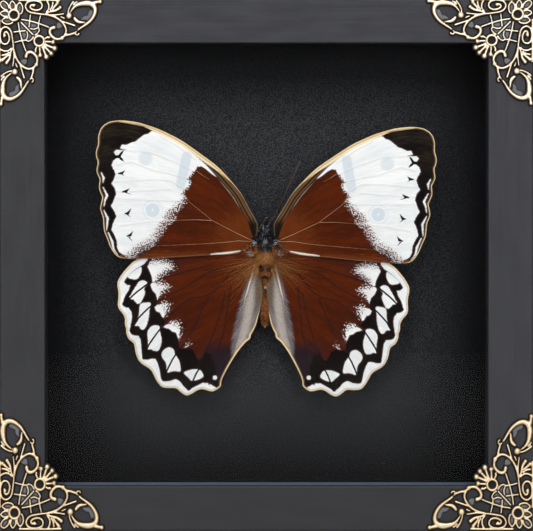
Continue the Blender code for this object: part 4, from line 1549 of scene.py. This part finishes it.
@dataclass
class Hindwing(WingPattern):
    """Hindwing: brown base, black scalloped edge with white ovals, grey inner fold."""

    leading: Route = (
        (3.2, 3.4), (6.4, 5.9), (12.0, 6.5), (25.0, 6.4), (40.0, 5.0), (45.5, 3.4), (48.2, 1.7),
    )
    margin: Route = (
        (48.2, 1.7), (50.0, 0.6), (51.7, -1.1), (53.4, -3.0), (54.6, -4.7), (55.6, -6.6),
        (55.7, -8.5), (55.3, -10.8), (55.4, -13.4), (55.6, -15.3), (55.1, -17.0), (53.6, -18.9),
        (52.9, -20.6), (52.9, -22.9), (52.4, -24.4), (52.4, -26.1), (51.4, -28.4), (49.7, -29.7),
        (49.2, -31.4), (48.9, -33.5), (48.0, -35.9), (46.6, -37.6), (44.7, -38.8), (43.0, -40.1),
        (41.7, -42.7), (40.6, -44.6), (39.1, -46.3), (36.8, -46.8), (33.8, -46.8), (32.3, -48.0),
        (30.4, -49.4), (29.0, -49.5), (27.3, -48.7), (25.5, -47.6), (23.6, -47.2), (21.7, -47.8),
        (19.8, -48.1), (17.9, -47.1),
    )
    inner: Route = (
        (1.9, -17.0), (2.8, -20.2), (3.5, -22.9), (4.5, -25.2), (5.4, -26.7), (5.8, -28.3),
        (7.3, -29.5), (9.1, -31.5), (11.1, -34.2), (13.5, -38.0), (15.6, -41.8), (16.6, -44.3),
        (16.8, -46.0), (17.9, -47.1),
    )
    root: Route = ((3.2, 3.4), (2.6, -2.0), (1.3, -8.0), (1.2, -13.0), (1.9, -17.0))
    rows: int = 245
    columns: int = 201

    PATCHES = (
        ((44.4, -1.1), (43.6, 0.4), (42.1, 1.2), (39.8, 1.1), (37.6, 0.6), (35.5, -0.4),
         (35.1, -1.3), (38.7, -3.4), (40.4, -4.9), (41.5, -6.6), (42.5, -6.8), (42.8, -4.7),
         (43.4, -3.2)),
        ((43.4, -7.9), (42.5, -7.0), (39.8, -7.1), (37.9, -7.8), (36.6, -8.7), (39.3, -10.8),
         (40.7, -13.6), (41.3, -11.2), (42.5, -10.0)),
        ((41.8, -16.3), (40.6, -15.4), (38.7, -15.1), (36.8, -15.0), (36.8, -16.8), (37.7, -18.4),
         (38.3, -20.4), (39.1, -19.7), (39.7, -18.3), (41.0, -17.9)),
        ((38.7, -23.8), (36.8, -22.7), (35.3, -22.1), (33.2, -22.3), (32.3, -24.0), (32.5, -28.8),
         (33.8, -25.8), (35.1, -25.5), (36.2, -24.5)),
        ((30.6, -31.6), (29.6, -30.6), (28.7, -30.5), (29.2, -31.2)),
    )
    OVALS = (
        ((51.9, -4.9), (50.8, -3.6), (48.9, -2.3), (47.0, -1.1), (46.6, -2.3), (47.2, -4.4),
         (48.7, -5.8), (50.8, -5.5)),
        ((51.2, -12.9), (50.4, -11.2), (48.3, -7.6), (47.0, -6.4), (45.5, -6.3), (44.4, -7.4),
         (45.7, -9.3), (45.3, -10.6), (46.0, -12.9), (47.1, -14.6), (48.3, -15.0), (49.5, -13.6)),
        ((49.3, -23.3), (48.3, -21.2), (47.6, -18.7), (47.4, -16.1), (46.8, -14.9), (45.1, -14.6),
         (43.6, -14.5), (43.2, -15.5), (43.7, -17.4), (43.8, -19.5), (44.5, -22.5), (45.5, -24.4),
         (46.7, -24.7), (47.8, -23.4)),
        ((44.5, -32.2), (44.2, -29.7), (44.4, -27.4), (44.4, -25.4), (43.0, -23.6), (41.3, -23.1),
         (39.9, -23.5), (39.7, -25.5), (39.1, -28.2), (39.4, -30.8), (40.4, -32.7), (41.9, -32.7),
         (43.2, -32.1)),
        ((37.0, -40.9), (37.2, -39.0), (37.6, -37.1), (38.7, -35.6), (39.1, -33.9), (38.1, -32.2),
         (36.2, -31.4), (34.6, -32.2), (34.1, -33.9), (32.8, -35.8), (32.1, -38.0), (32.1, -40.5),
         (34.5, -40.4)),
        ((30.7, -41.2), (29.2, -40.2), (27.0, -39.7), (24.9, -39.9), (23.7, -41.2), (23.4, -42.4),
         (24.7, -43.4), (26.6, -44.0), (27.9, -44.0), (29.0, -42.9)),
    )
    SPLITS = (
        ((44.0, -7.2), (45.9, -8.7), (48.5, -10.6), (51.5, -13.4)),
        ((43.2, -15.9), (45.5, -18.0), (47.8, -20.4), (50.0, -24.0)),
        ((39.4, -24.2), (42.1, -27.8), (44.0, -30.6), (45.1, -33.5)),
        ((33.0, -32.9), (35.3, -36.5), (37.2, -40.5), (38.5, -43.7)),
        ((24.5, -38.8), (26.2, -41.6), (27.3, -44.1), (28.7, -47.5)),
    )
    BORDER = (
        (44.4, 1.5), (45.7, 0.0), (47.8, -1.3), (50.0, -2.9), (51.9, -4.7), (53.3, -6.8),
        (52.3, -7.9), (50.9, -8.0), (51.4, -9.7), (52.7, -11.9), (54.0, -15.1), (53.1, -16.2),
        (51.5, -16.6), (50.4, -18.0), (50.2, -20.2), (51.2, -25.2), (50.7, -26.4), (49.5, -26.9),
        (47.9, -27.1), (47.0, -28.4), (46.4, -35.9), (44.7, -36.2), (42.7, -35.6), (41.3, -35.9),
        (40.5, -37.6), (39.8, -40.5), (39.2, -43.9), (37.9, -44.4), (36.0, -44.1), (33.8, -43.4),
        (32.4, -44.1), (30.7, -46.3), (29.0, -47.9), (27.3, -46.7), (23.6, -44.8), (22.4, -45.0),
        (21.7, -44.8), (21.3, -45.8), (20.5, -45.3), (19.8, -46.0), (18.6, -46.5),
    )
    NIGHT_EDGE = (
        (44.9, 7.0), (44.4, -1.1), (43.2, -3.4), (42.5, -6.8), (43.5, -7.9), (42.5, -10.0),
        (41.1, -11.2), (40.6, -14.0), (41.7, -16.1), (39.7, -18.4), (38.5, -20.6), (37.6, -21.9),
        (39.1, -23.8), (36.2, -24.5), (33.8, -25.9), (32.8, -28.9), (32.3, -31.8), (30.7, -32.2),
        (29.0, -31.6), (27.3, -32.5), (25.2, -36.4), (23.8, -35.2), (22.4, -33.4), (20.7, -34.0),
        (19.4, -37.6), (18.0, -42.6), (16.0, -47.0),
    )
    FOLD = (
        (4.3, 0.6), (6.9, -2.5), (8.4, -8.1), (10.3, -13.8), (11.8, -19.5), (13.4, -27.1),
        (14.9, -32.7), (16.4, -40.3), (17.5, -46.5),
    )
    FOLD_LINE = (
        (4.0, -0.5), (5.0, -4.0), (5.7, -6.5), (6.7, -10.0), (7.7, -13.3), (8.4, -17.0),
        (9.0, -21.0), (10.4, -27.5), (12.4, -34.0),
    )
    FOLD_WIDTHS = (0.3, 0.34, 0.34, 0.26, 0.1, 0.02, 0.0, -0.02, -0.1)
    SILVER = (
        (4.0, -5.0), (4.9, -9.0), (5.8, -13.3), (6.8, -20.8), (8.3, -27.0), (10.5, -33.0),
        (12.5, -38.0),
    )
    SILVER_WIDTHS = (0.1, 0.7, 1.5, 1.7, 1.7, 1.1, 0.2)
    VEINS = (
        ((20.2, -0.4), (24.7, -1.5), (32.3, -3.6), (39.8, -5.7)),
        ((17.1, -1.7), (21.7, -3.2), (28.5, -7.8), (34.1, -10.6), (40.6, -13.8)),
        ((7.7, 0.6), (12.6, -2.9), (19.4, -10.4), (22.4, -11.9), (28.5, -13.1), (32.3, -15.5),
         (36.0, -19.5), (39.1, -23.3)),
        ((21.3, -12.3), (23.6, -16.5), (26.6, -23.3), (30.0, -29.3), (33.0, -32.9)),
        ((15.2, -10.8), (16.8, -18.4), (19.4, -25.9), (22.8, -33.5), (25.1, -39.2)),
        ((13.0, -8.1), (14.1, -15.7), (15.6, -25.2), (17.9, -33.5), (21.3, -45.2)),
    )

    BEYOND = ((17.5, -52.0), (60.0, -52.0), (60.0, 6.0), (44.0, 6.0))
    BODY_SIDE = ((-8.0, -46.5), (-8.0, 0.6))
    TAIL_SPOT = (19.0, -42.9)
    TAIL_SPOT_SIZE = 0.8
    GLOW = (4.0, 2.0)

    def markings(self, spots: Array) -> dict[str, Array | float]:
        """How deep each spot lies in each marking.

        Args:
            spots: places as (right, up), one a row.

        Returns:
            A depth in millimetres, or a share from 0 to 1, by the marking's name.
        """
        right, up = spots.T
        inner_white = np.max([patch_depth(spots, patch) for patch in self.PATCHES], axis=0)
        ovals = [patch_depth(spots, smooth_path(oval, closed=True, steps=3)) for oval in self.OVALS]
        border, night = (
            patch_depth(spots, np.vstack([edge, self.BEYOND]))
            for edge in (self.BORDER, self.NIGHT_EDGE)
        )
        spot = self.TAIL_SPOT_SIZE - np.hypot(*(spots - self.TAIL_SPOT).T)
        crisp = np.max([*ovals, border, spot], axis=0)
        grey = patch_depth(spots, np.vstack([self.FOLD, self.BODY_SIDE]))
        near_root = np.hypot(*(spots - self.GLOW).T)
        tail = ease(-up, 24.0, 36.0) * ease(-right, -30.0, -18.0) * 1.1
        toward_tip = ease(right, 20.0, 40.0) * ease(up, -12.0, 2.0) * 0.7
        outward = 0.35 * ease(near_root, 20.0, 44.0)
        return {
            "white": np.maximum(inner_white, crisp),
            "fray": np.where(inner_white > crisp, 0.45, 0.0) * ease(-night, 0.2, 2.6),
            "night": night,
            "marks": deepest(spots, self.SPLITS, (0.3, 0.32, 0.3)),
            "dark_veins": deepest(spots, self.VEINS, (0.2, 0.2, 0.2)),
            "grey": grey - 1.0 - 3.0 * ease(-up, 26.0, 44.0),
            "warm": 0.75 * ease(-near_root, -26.0, -6.0),
            "purple": np.max([tail, toward_tip, outward, 0.4 * ease(grey, -1.5, 0.5)], axis=0),
            "olive": ease(-right, -6.5, -3.5) * ease(up, -21.0, -11.0),
            "silver": stroke_depth(spots, self.SILVER, self.SILVER_WIDTHS),
            "crease": stroke_depth(spots, self.FOLD_LINE, self.FOLD_WIDTHS),
            "gloss": 0.2,
            "rim": patch_depth(spots, self.outline()),
            "rim_width": (
                0.42 + 0.3 * ease(-up, 22.0, 29.0) * ease(-right, -17.0, -9.0)
                - 0.6 * ease(up, -22.0, -14.0) * ease(-right, -12.0, -6.0)
            ),
        }

    def relief(self, fields: dict[str, Array]) -> Array:
        """Low pleats along the veins, and the inner fold turned back from the viewer."""
        ridges = 0.1 * ease(fields["dark_veins"], -0.6, 0.2)
        swell = 0.25 * ease(fields["rim"], 0.0, 10.0)
        return swell + ridges - 0.5 * ease(fields["grey"], -2.0, 4.0)


class Side(Enum):
    """Which side of the body a wing is on."""

    LEFT = -1.0
    RIGHT = 1.0


@dataclass
class Wing:
    """One wing set in place: the pattern's net lifted into relief over a coarser back."""

    pattern: WingPattern
    kind: str
    side: Side
    depth: float
    turn: float = 0.0
    scale: float = 1.0
    hinge: Pair = (4.0, 7.0)
    dihedral: float = math.radians(2.2)
    thickness: float = 0.14
    coarse: int = 4

    def _stitched(self, rows: int, columns: int) -> list[Array]:
        """Faces of the front net, of the back net and of the seam that joins their edges.

        Going round, every step of the front edge meets the back point that it starts from, and
        every fourth one closes the step of the back edge.

        Args:
            rows: rows of the front net.
            columns: columns of the front net.

        Returns:
            Four blocks of faces.
        """
        front = np.arange(rows * columns).reshape(rows, columns)
        low, wide = (rows - 1) // self.coarse + 1, (columns - 1) // self.coarse + 1
        back = np.arange(low * wide).reshape(low, wide) + rows * columns

        def cells(net: Array) -> Array:
            """Quads between neighbours of a net."""
            corners = [net[:-1, :-1], net[:-1, 1:], net[1:, 1:], net[1:, :-1]]
            return np.stack(corners, axis=-1).reshape(-1, 4)

        def around(net: Array) -> Array:
            """The net's edge, once round."""
            sides = [net[0, :-1], net[:-1, -1], net[-1, :0:-1], net[:0:-1, 0]]
            return np.concatenate(sides)

        fine, rough = around(front), around(back)
        step = np.arange(len(fine))
        owner = rough[step // self.coarse]
        fans = np.stack([np.roll(fine, -1), fine, owner], axis=1)
        turn = np.arange(len(rough))
        meets = fine[((turn + 1) * self.coarse) % len(fine)]
        links = np.stack([rough, np.roll(rough, -1), meets], axis=1)
        return [cells(front), cells(back)[:, ::-1], fans, links]

    def _pose(self) -> Array:
        """Turn of the wing in its plane, then its lift towards the glass, as a 3 by 3."""
        sign = self.side.value
        lift = Matrix.Rotation(-sign * self.dihedral, 3, "Z")
        stand = Matrix.Rotation(math.pi / 2.0, 3, "X")
        return np.array(lift @ stand @ Matrix.Rotation(-sign * self.turn, 3, "Z"))

    def form(self) -> Form:
        """The wing as a thin closed sheet.

        Returns:
            The form, with its markings' depths on its points.
        """
        net = self.pattern.net()
        rows, columns = net.shape[:2]
        spots = net.reshape(-1, 2)
        fields = self.pattern.fields(spots)
        rise = self.pattern.relief(fields)
        strides = np.linalg.norm(np.diff(net, axis=1), axis=2).mean()
        pitch = np.linalg.norm(np.diff(net, axis=0), axis=2).mean()
        fields["along"] = np.tile(np.arange(columns) * strides, rows)
        fields["across"] = np.repeat(np.arange(rows) * pitch, columns)
        back = np.arange(rows * columns).reshape(rows, columns)
        back = back[:: self.coarse, :: self.coarse].ravel()
        flat = np.vstack([spots, spots[back]]) - self.hinge
        height = np.concatenate([rise, rise[back] - self.thickness])
        local = np.column_stack([flat * self.scale, height])
        local[:, 0] *= self.side.value
        right = self.side.value * self.hinge[0] + SPECIMEN_SHIFT[0]
        hinge = place((right, self.hinge[1] + SPECIMEN_SHIFT[1], self.depth))
        tags = {name: np.concatenate([value, value[back]]) for name, value in fields.items()}
        points = local @ self._pose().T + hinge
        return Form(points, self._stitched(rows, columns), tags).outward()

    def build(self, finish: Material) -> None:
        """Put the wing in the scene."""
        label = self.side.name.lower()
        nodes = [f"{self.kind}_{label}"]
        make_piece(f"{label}_{self.kind}", self.form(), finish, nodes)


# ---- the body


def pinned(points: Sequence[float] | Array) -> Array:
    """(right, up, depth) from the body's line as the row frame's millimetres."""
    return place(np.asarray(points, float) + (*BODY_SHIFT, 0.0))


def markings(right: Array, up: Array) -> dict[str, Array]:
    """How black and how fawn the body is at each place, seen from the front.

    Args:
        right: places from the body's line.
        up: places from the middle of the frame.

    Returns:
        Values of "dark" and "pale" from 0 to 1.
    """
    aside = np.abs(right)
    front = ease(up, 4.4, 6.2)
    flank = ease(aside, 2.1, 2.8) * ease(-aside, -4.0, -3.5) * ease(-up, -8.4, -7.0)
    eye = np.hypot(aside - 1.15, (up + 1.2) * 0.75)
    eyes = ease(-eye, -1.1, -0.75) * (1.0 - 0.75 * ease(-eye, -0.45, -0.2))
    yoke = ease(-np.hypot(aside * 0.42, up + 4.5 + 0.4 * aside**2), -0.7, -0.35)
    spine = ease(-aside, -0.75, -0.25) * ease(-np.abs(up + 10.6), -3.2, -1.8) * 0.6
    hoops = np.maximum(np.cos((up + 13.6) * math.pi / 1.75), 0.0) ** 6 * ease(-up, 11.5, 13.0)
    hoops = hoops * ease(up, -22.6, -21.6) * 0.5
    rump = ease(-up, 18.6, 19.6) * ease(up, -22.6, -21.8) * 0.5
    dark = np.max([front * (1.0 - 0.95 * flank), eyes, yoke, spine, hoops, rump], axis=0)
    tip = ease(-up, 22.3, 23.0) * 0.8
    shoulder = ease(up, 0.2, 1.2) * ease(-up, -4.9, -3.7) * 0.5
    pale = np.max([shoulder, flank * 0.35, tip], axis=0)
    return {"dark": dark, "pale": pale}


@dataclass
class Body:
    """Head, thorax and abdomen with their hair, the antennae and the palps."""

    depth: float = 12.5
    flatten: float = 1.2
    rng: np.random.Generator = field(default_factory=lambda: np.random.default_rng(7))

    ASLANT = (0.31, 0.38, 0.87)
    THORAX = (
        (0.2, 11.6), (1.6, 11.3), (2.8, 10.0), (3.6, 7.8), (3.8, 5.0), (3.6, 2.4), (3.1, 0.4),
        (2.2, -0.9), (0.2, -1.3),
    )
    ABDOMEN = (
        (0.2, -0.2), (2.6, -0.6), (3.0, -1.7), (2.5, -3.6), (1.5, -5.8), (0.8, -7.7), (0.85, -9.2),
        (1.15, -12.5), (1.4, -17.0), (1.5, -19.4), (1.0, -21.9), (0.2, -23.9),
    )
    HEAD = (
        (0.2, 15.1), (1.3, 14.8), (2.2, 13.9), (2.4, 12.8), (2.2, 11.6), (1.3, 10.7), (0.2, 10.4),
    )
    ANTENNAE = {
        "left": ((-2.0, 14.2, 12.4), (-5.6, 20.0, 12.9), (-10.2, 27.6, 12.6), (-16.4, 36.9, 11.6)),
        "right": ((2.0, 14.2, 12.4), (3.9, 19.0, 12.9), (7.0, 25.4, 12.4), (13.3, 39.1, 11.0)),
    }
    PALPS = {
        "left": ((-1.5, 13.6, 11.0), (-0.9, 15.4, 10.8), (0.1, 17.0, 10.7), (0.9, 17.9, 10.7)),
        "right": ((0.9, 13.9, 11.4), (1.5, 15.4, 11.2), (2.3, 16.8, 11.0), (3.0, 17.8, 10.9)),
    }

    def _trunk(self, profile: Route) -> Form:
        """A profile turned about the body's line, deeper than it is wide.

        Args:
            profile: its (radius, up) places.

        Returns:
            The trunk, with its markings on its points.
        """
        curve = resample(smooth_path(profile, steps=10), 80)
        radius, up = curve.T
        turn = circle(40)
        right = np.maximum(radius, 0.02)[:, None] * turn[:, 0]
        depth = self.depth + np.maximum(radius, 0.02)[:, None] * turn[:, 1] * self.flatten
        level = np.broadcast_to(up[:, None], right.shape)
        form = skin(pinned(np.stack([right, level, depth], axis=-1)))
        spots = form.points[:, [0, 2]] - (BODY_SHIFT[0], BODY_SHIFT[1] + CENTRE_Z)
        form.tags = {**markings(*spots.T), "tone": np.full(len(spots), 1.0)}
        return form

    def _hairs(
        self, roots: Array, aims: Array, lengths: Array, bends: Array,
        radius: float, tags: dict[str, Array | float], sections: int = 3,
    ) -> Form:
        """Three-sided hairs in one form.

        A hair runs from its root along its aim by its length, curves by its bend times the
        square of the share along it, and thins evenly to a point.

        Args:
            roots: where they grow, as (right, up, depth).
            aims: their directions on the same axes.
            lengths: their lengths.
            bends: how far each is carried aside at its tip.
            radius: thickness at the root.
            tags: point values, one for each hair or one for all.
            sections: steps along a hair.

        Returns:
            The hairs as one form.
        """
        count = len(roots)
        share = np.linspace(0.0, 1.0, sections + 1)
        path = (
            roots[:, None]
            + (aims * lengths[:, None])[:, None] * share[None, :, None]
            + bends[:, None] * (share**2)[None, :, None]
        )
        side = unit(np.cross(aims, self.ASLANT))
        other = np.cross(aims, side)
        turn = circle(3)
        round_ = turn[:, 0][:, None] * side[:, None] + turn[:, 1][:, None] * other[:, None]
        thin = radius * (1.0 - share[:-1])
        rings = path[:, :-1, None] + round_[:, None] * thin[None, :, None, None]
        points = np.concatenate([rings.reshape(count, -1, 3), path[:, -1:]], axis=1)
        each = points.shape[1]
        here, there = np.arange(3), (np.arange(3) + 1) % 3
        base = np.arange(sections - 1)[:, None] * 3
        quads = np.stack([base + here, base + there, base + 3 + there, base + 3 + here], -1)
        top = (sections - 1) * 3
        tips = np.stack([top + here, top + there, np.full(3, each - 1)], axis=1)
        starts = (np.arange(count) * each)[:, None, None]
        blocks = [
            (quads.reshape(-1, 4)[None] + starts).reshape(-1, 4),
            (np.vstack([tips, [[2, 1, 0]]])[None] + starts).reshape(-1, 3),
        ]
        spread = {
            name: np.repeat(np.broadcast_to(value, count).astype(float), each)
            for name, value in tags.items()
        }
        return Form(pinned(points.reshape(-1, 3)), blocks, spread).outward()

    def _coat(
        self, profile: Route, count: int, length: float, radius: float, lean: float, spread: float
    ) -> Form:
        """Hair over the side of a trunk that faces the glass, lying down along the body.

        Args:
            profile: (radius, up) of the trunk.
            count: how many hairs.
            length: their mean length.
            radius: their thickness at the root.
            lean: how much they lie down the body rather than stand out.
            spread: how much their directions differ.

        Returns:
            The hairs as one form.
        """
        curve = resample(smooth_path(profile, steps=10), 200)
        pick = self.rng.uniform(0.04, 0.95, count) * 199.0
        girth = np.interp(pick, np.arange(200.0), curve[:, 0])
        level = np.interp(pick, np.arange(200.0), curve[:, 1])
        angle = self.rng.uniform(-1.9, 1.9, count)
        out = np.stack([np.sin(angle), np.zeros(count), -np.cos(angle) * self.flatten], axis=1)
        middle = np.stack([np.zeros(count), level, np.full(count, self.depth)], axis=1)
        roots = middle + out * girth[:, None] * 0.95
        aims = unit(out + (0.0, -lean, 0.0) + self.rng.normal(0.0, spread, out.shape))
        lengths = length * self.rng.uniform(0.5, 1.3, count)
        bends = np.tile((0.0, -0.3 * length, 0.3 * length), (count, 1))
        tags = markings(roots[:, 0], roots[:, 1])
        tags["tone"] = self.rng.uniform(-0.4, 1.2, count)
        tags["pale"] = tags["pale"] + self.rng.normal(0.0, 0.25, count)
        # painted highlights on some dark hairs of the upper body
        shiny = self.rng.uniform(0.0, 1.0, count) < 0.16
        tags["glint"] = np.where(shiny & (tags["dark"] > 0.8) & (roots[:, 1] > 3.0), 0.45, 0.0)
        return self._hairs(roots, aims, lengths, bends, radius, tags)

    def _tuft(
        self, root: Triple, aim: Pair, fan: float, count: int,
        length: float, radius: float = 0.07, scatter: float = 0.5, **tags: float,
    ) -> Form:
        """A fan of hairs from round one place.

        Args:
            root: (right, up, depth) that they grow from.
            aim: their middle direction as (right, up).
            fan: the spread to either side, in radians.
            count: how many hairs.
            length: their mean length.
            radius: thickness at the root.
            scatter: how far the roots stray.
            tags: how dark and pale they are, and how strong their painted silver-blue highlight is.

        Returns:
            The hairs as one form.
        """
        heading = math.atan2(aim[1], aim[0]) + self.rng.normal(0.0, fan, count)
        stray = self.rng.normal(0.0, scatter, (count, 3)) * (1.0, 1.0, 0.3)
        aims = np.stack([np.cos(heading), np.sin(heading), self.rng.normal(0.0, 0.04, count)], 1)
        lengths = length * self.rng.uniform(0.4, 1.25, count)
        sway = self.rng.normal(0.0, 0.1, (count, 3)) * lengths[:, None] * (1.0, 1.0, 0.2)
        values = {"tone": self.rng.uniform(0.0, 1.0, count), **tags}
        return self._hairs(np.asarray(root) + stray, aims, lengths, sway, radius, values)

    def _feeler(self, route: Route, radii: Sequence[float], sides: int = 12) -> Form:
        """A thin round piece along a route, rounded off at its tip.

        Args:
            route: places as (right, up, depth).
            radii: its thickness, evenly spaced along the route.
            sides: how many flats go round.

        Returns:
            The closed form.
        """
        path = resample(smooth_path(route, steps=16), 60)
        share = np.linspace(0.0, 1.0, len(path))
        reach = np.interp(share, np.linspace(0.0, 1.0, len(radii)), radii)
        tip = np.sqrt(np.clip(1.0 - np.clip((share - 0.97) / 0.03, 0.0, 1.0) ** 2, 0.01, 1.0))
        sizes = np.repeat((reach * tip)[:, None], 2, axis=1)
        return swept(pinned(path), circle(sides), sizes, np.array([0.0, 1.0, 0.0]))

    def _wing_tufts(self, sign: float) -> list[Form]:
        """Hairs that fan from one side of the thorax over the wings' bases.

        Args:
            sign: -1 for the left side, 1 for the right.

        Returns:
            The tufts.
        """
        return [
            self._tuft((sign * 3.6, 4.4, 9.4), (sign, -0.15), 0.3, 90, 4.0, 0.06, pale=0.15),
            self._tuft((sign * 3.2, 1.8, 10.0), (sign, -0.4), 0.22, 46, 15.0, 0.045, 0.9, pale=0.3),
            self._tuft((sign * 3.2, -0.6, 10.1), (sign, -0.9), 0.2, 46, 17.0, 0.045, 1.0, pale=0.3),
            self._tuft((sign * 3.0, 0.6, 10.0), (sign, -0.6), 0.26, 12, 15.0, 0.05, 0.7, pale=1.4),
            self._tuft((sign * 2.9, -1.5, 10.1), (sign * 0.5, -1.0), 0.14, 30, 5.0, 0.05, pale=0.8),
            self._tuft((sign * 3.7, 8.3, 8.8), (sign, -0.2), 0.6, 10, 1.0, 0.13, 0.35, glint=1.0),
            self._tuft((sign * 3.6, 9.4, 9.0), (sign * 0.6, 0.8), 0.4, 60, 1.6, 0.1, 0.6, dark=1.0),
            self._tuft((sign * 5.2, 4.2, 8.9), (sign, 0.6), 0.7, 16, 1.3, 0.11, 0.9, glint=0.8),
            self._tuft((sign * 5.6, 5.4, 9.1), (sign, 0.3), 0.5, 60, 2.6, 0.08, 0.8, dark=0.45),
        ]

    def build(self) -> None:
        """Make the three trunk pieces with their hair, and the feelers."""
        fore, hind = Fur(Slot.BODY).material(), Fur(Slot.ABDOMEN).material()
        head = joined([
            self._trunk(self.HEAD),
            self._coat(self.HEAD, 420, 1.0, 0.11, -0.2, 0.6),
            self._tuft((0.0, 13.4, 9.6), (0.3, 1.0), 1.3, 16, 1.0, 0.1, 1.0, glint=0.8),
        ])
        make_piece("head_with_hair", head, fore, ["head"])
        thorax = [
            self._trunk(self.THORAX),
            self._coat(self.THORAX, 2300, 1.5, 0.13, 0.9, 0.4),
            self._tuft((0.1, 8.6, 8.1), (0.05, -1.0), 0.25, 14, 1.8, 0.09, 0.5, glint=0.55),
            *self._wing_tufts(-1.0), *self._wing_tufts(1.0),
        ]
        make_piece("thorax_with_hair", joined(thorax), fore, ["thorax"])
        abdomen = joined([
            self._trunk(self.ABDOMEN),
            self._coat(self.ABDOMEN, 1500, 0.8, 0.11, 1.4, 0.25),
            self._tuft((0.1, -8.3, 11.0), (0.1, -1.0), 0.4, 12, 1.0, 0.11, 0.25, glint=0.9),
        ])
        make_piece("abdomen_with_hair", abdomen, hind, ["abdomen"])
        horn = Horn("antenna_horn", ink(96, 60, 42), ink(48, 29, 20), 7.0, 0.4).material()
        for side, route in self.ANTENNAE.items():
            antenna = self._feeler(route, (0.2, 0.16, 0.16, 0.2, 0.28))
            make_piece(f"{side}_antenna", antenna, horn, ["antenna_" + side])
        for side, route in self.PALPS.items():
            scaly = self._feeler(route, (0.8, 0.95, 0.75, 0.12))
            high = scaly.points[:, 2] - CENTRE_Z
            scaly.tags = {
                "dark": 1.0 - 0.6 * ease(high, 16.8, 17.6), "pale": ease(high, 16.6, 17.5),
            }
            lean = (route[-1][0] - route[0][0], route[-1][1] - route[0][1])
            fringe = self._tuft(route[1], lean, 0.3, 60, 1.2, 0.09, 0.4, dark=0.9)
            make_piece(f"{side}_palp", joined([scaly, fringe]), fore, ["palp_" + side])
        glue = Horn("glue", ink(196, 178, 132), ink(150, 130, 90), 0.0, 0.5).material()
        dress_node("mounting_pad", glue, Slot.GLUE)


# ---- camera, light and floor


@dataclass(frozen=True)
class Lamp:
    """A rectangular soft light, in metres from the middle of the frame and aimed at it."""

    name: str
    spot: Triple
    size: Pair
    power: float
    colour: Triple = (1.0, 1.0, 1.0)

    def build(self) -> None:
        """Put the light in the scene."""
        lamp = bpy.data.lights.new(self.name, "AREA")
        lamp.shape = "RECTANGLE"
        lamp.size, lamp.size_y = self.size
        lamp.energy = self.power
        lamp.color = self.colour
        holder = put(self.name, lamp)
        holder.location = Vector(self.spot) + Vector((0.0, 0.0, CENTRE_Z * MM))
        holder.rotation_euler = (-Vector(self.spot)).to_track_quat("-Z", "Y").to_euler()


@dataclass
class Studio:
    """Camera at the specimen's viewing angle, soft lights and a pale floor."""

    distance: float = 1467.0
    eye: Pair = (-0.17, 31.8)
    aim: Pair = (0.02, -0.29)
    lens: float = 265.0
    sensor: float = 36.0
    clip: Pair = (0.05, 20.0)
    floor_size: float = 3.0
    ambient: float = 0.1

    LAMPS = (
        Lamp("above", (0.0, -0.6, 0.78), (1.2, 0.6), 11.0, (0.95, 0.97, 1.0)),
        Lamp("left", (-0.62, -1.15, 0.15), (0.5, 0.7), 4.1),
        Lamp("right", (0.62, -1.15, 0.15), (0.5, 0.7), 4.5),
        Lamp("behind", (-0.5, 1.3, 0.5), (0.8, 0.8), 8.0),
    )

    def _camera(self) -> None:
        """The camera, square to the frame but a little above its middle."""
        data = bpy.data.cameras.new("camera")
        data.lens = self.lens
        data.sensor_width = self.sensor
        data.clip_start, data.clip_end = self.clip
        camera = put("camera", data)
        eye = Vector(place((*self.eye, -self.distance))) * MM
        target = Vector(place((*self.aim, 0.0))) * MM
        camera.location = eye
        camera.rotation_euler = (target - eye).to_track_quat("-Z", "Y").to_euler()
        bpy.context.scene.camera = camera

    def _floor(self) -> None:
        """A wide pale sheet under the frame."""
        half = self.floor_size / 2.0
        mesh = bpy.data.meshes.new("floor")
        corners = [(-half, -half, 0.0), (half, -half, 0.0), (half, half, 0.0), (-half, half, 0.0)]
        mesh.from_pydata(corners, [], [(0, 1, 2, 3)])
        mix = Recipe("floor")
        cloud = mix.noise(mix.where(), 0.01, 2.0)
        base = mix.mix(cloud, ink(226, 225, 222), ink(232, 231, 229))
        mesh.materials.append(mix.principled(Base_Color=base, Roughness=0.7))
        put("floor", mesh)

    def _world(self) -> None:
        """A pale backdrop to the camera, and a dim even light to everything else."""
        mix = Recipe("studio", world=True)
        light = {"Color": ink(178, 182, 190), "Strength": self.ambient}
        dim = mix.node("ShaderNodeBackground", 0, {}, light)
        seen = mix.node("ShaderNodeBackground", 0, {}, {"Color": ink(222, 222, 222)})
        by_camera = mix.node("ShaderNodeLightPath", "Is Camera Ray")
        both = mix.node("ShaderNodeMixShader", 0, {}, {0: by_camera, 1: dim, 2: seen})
        bpy.context.scene.world = mix.done(both)

    def build(self) -> None:
        """Set the camera, lights, floor and backdrop."""
        bpy.context.scene.view_settings.view_transform = "Standard"
        self._camera()
        self._floor()
        self._world()
        for lamp in self.LAMPS:
            lamp.build()


def main() -> None:
    """Build the whole scene."""
    logging.basicConfig(level=logging.INFO, format="%(message)s")
    Studio().build()
    ShadowBox().build()
    FiligreeBracket().build()
    scales = WingScales().material()
    fore, hind = Forewing(), Hindwing()
    for wing in (
        Wing(fore, "forewing", Side.LEFT, 10.3, scale=0.995),
        Wing(fore, "forewing", Side.RIGHT, 10.3, math.radians(2.25), 0.985),
        Wing(hind, "hindwing", Side.LEFT, 11.2),
        Wing(hind, "hindwing", Side.RIGHT, 11.2, math.radians(2.8), 0.987),
    ):
        wing.build(scales)
    Body().build()


if __name__ == "__main__":
    main()
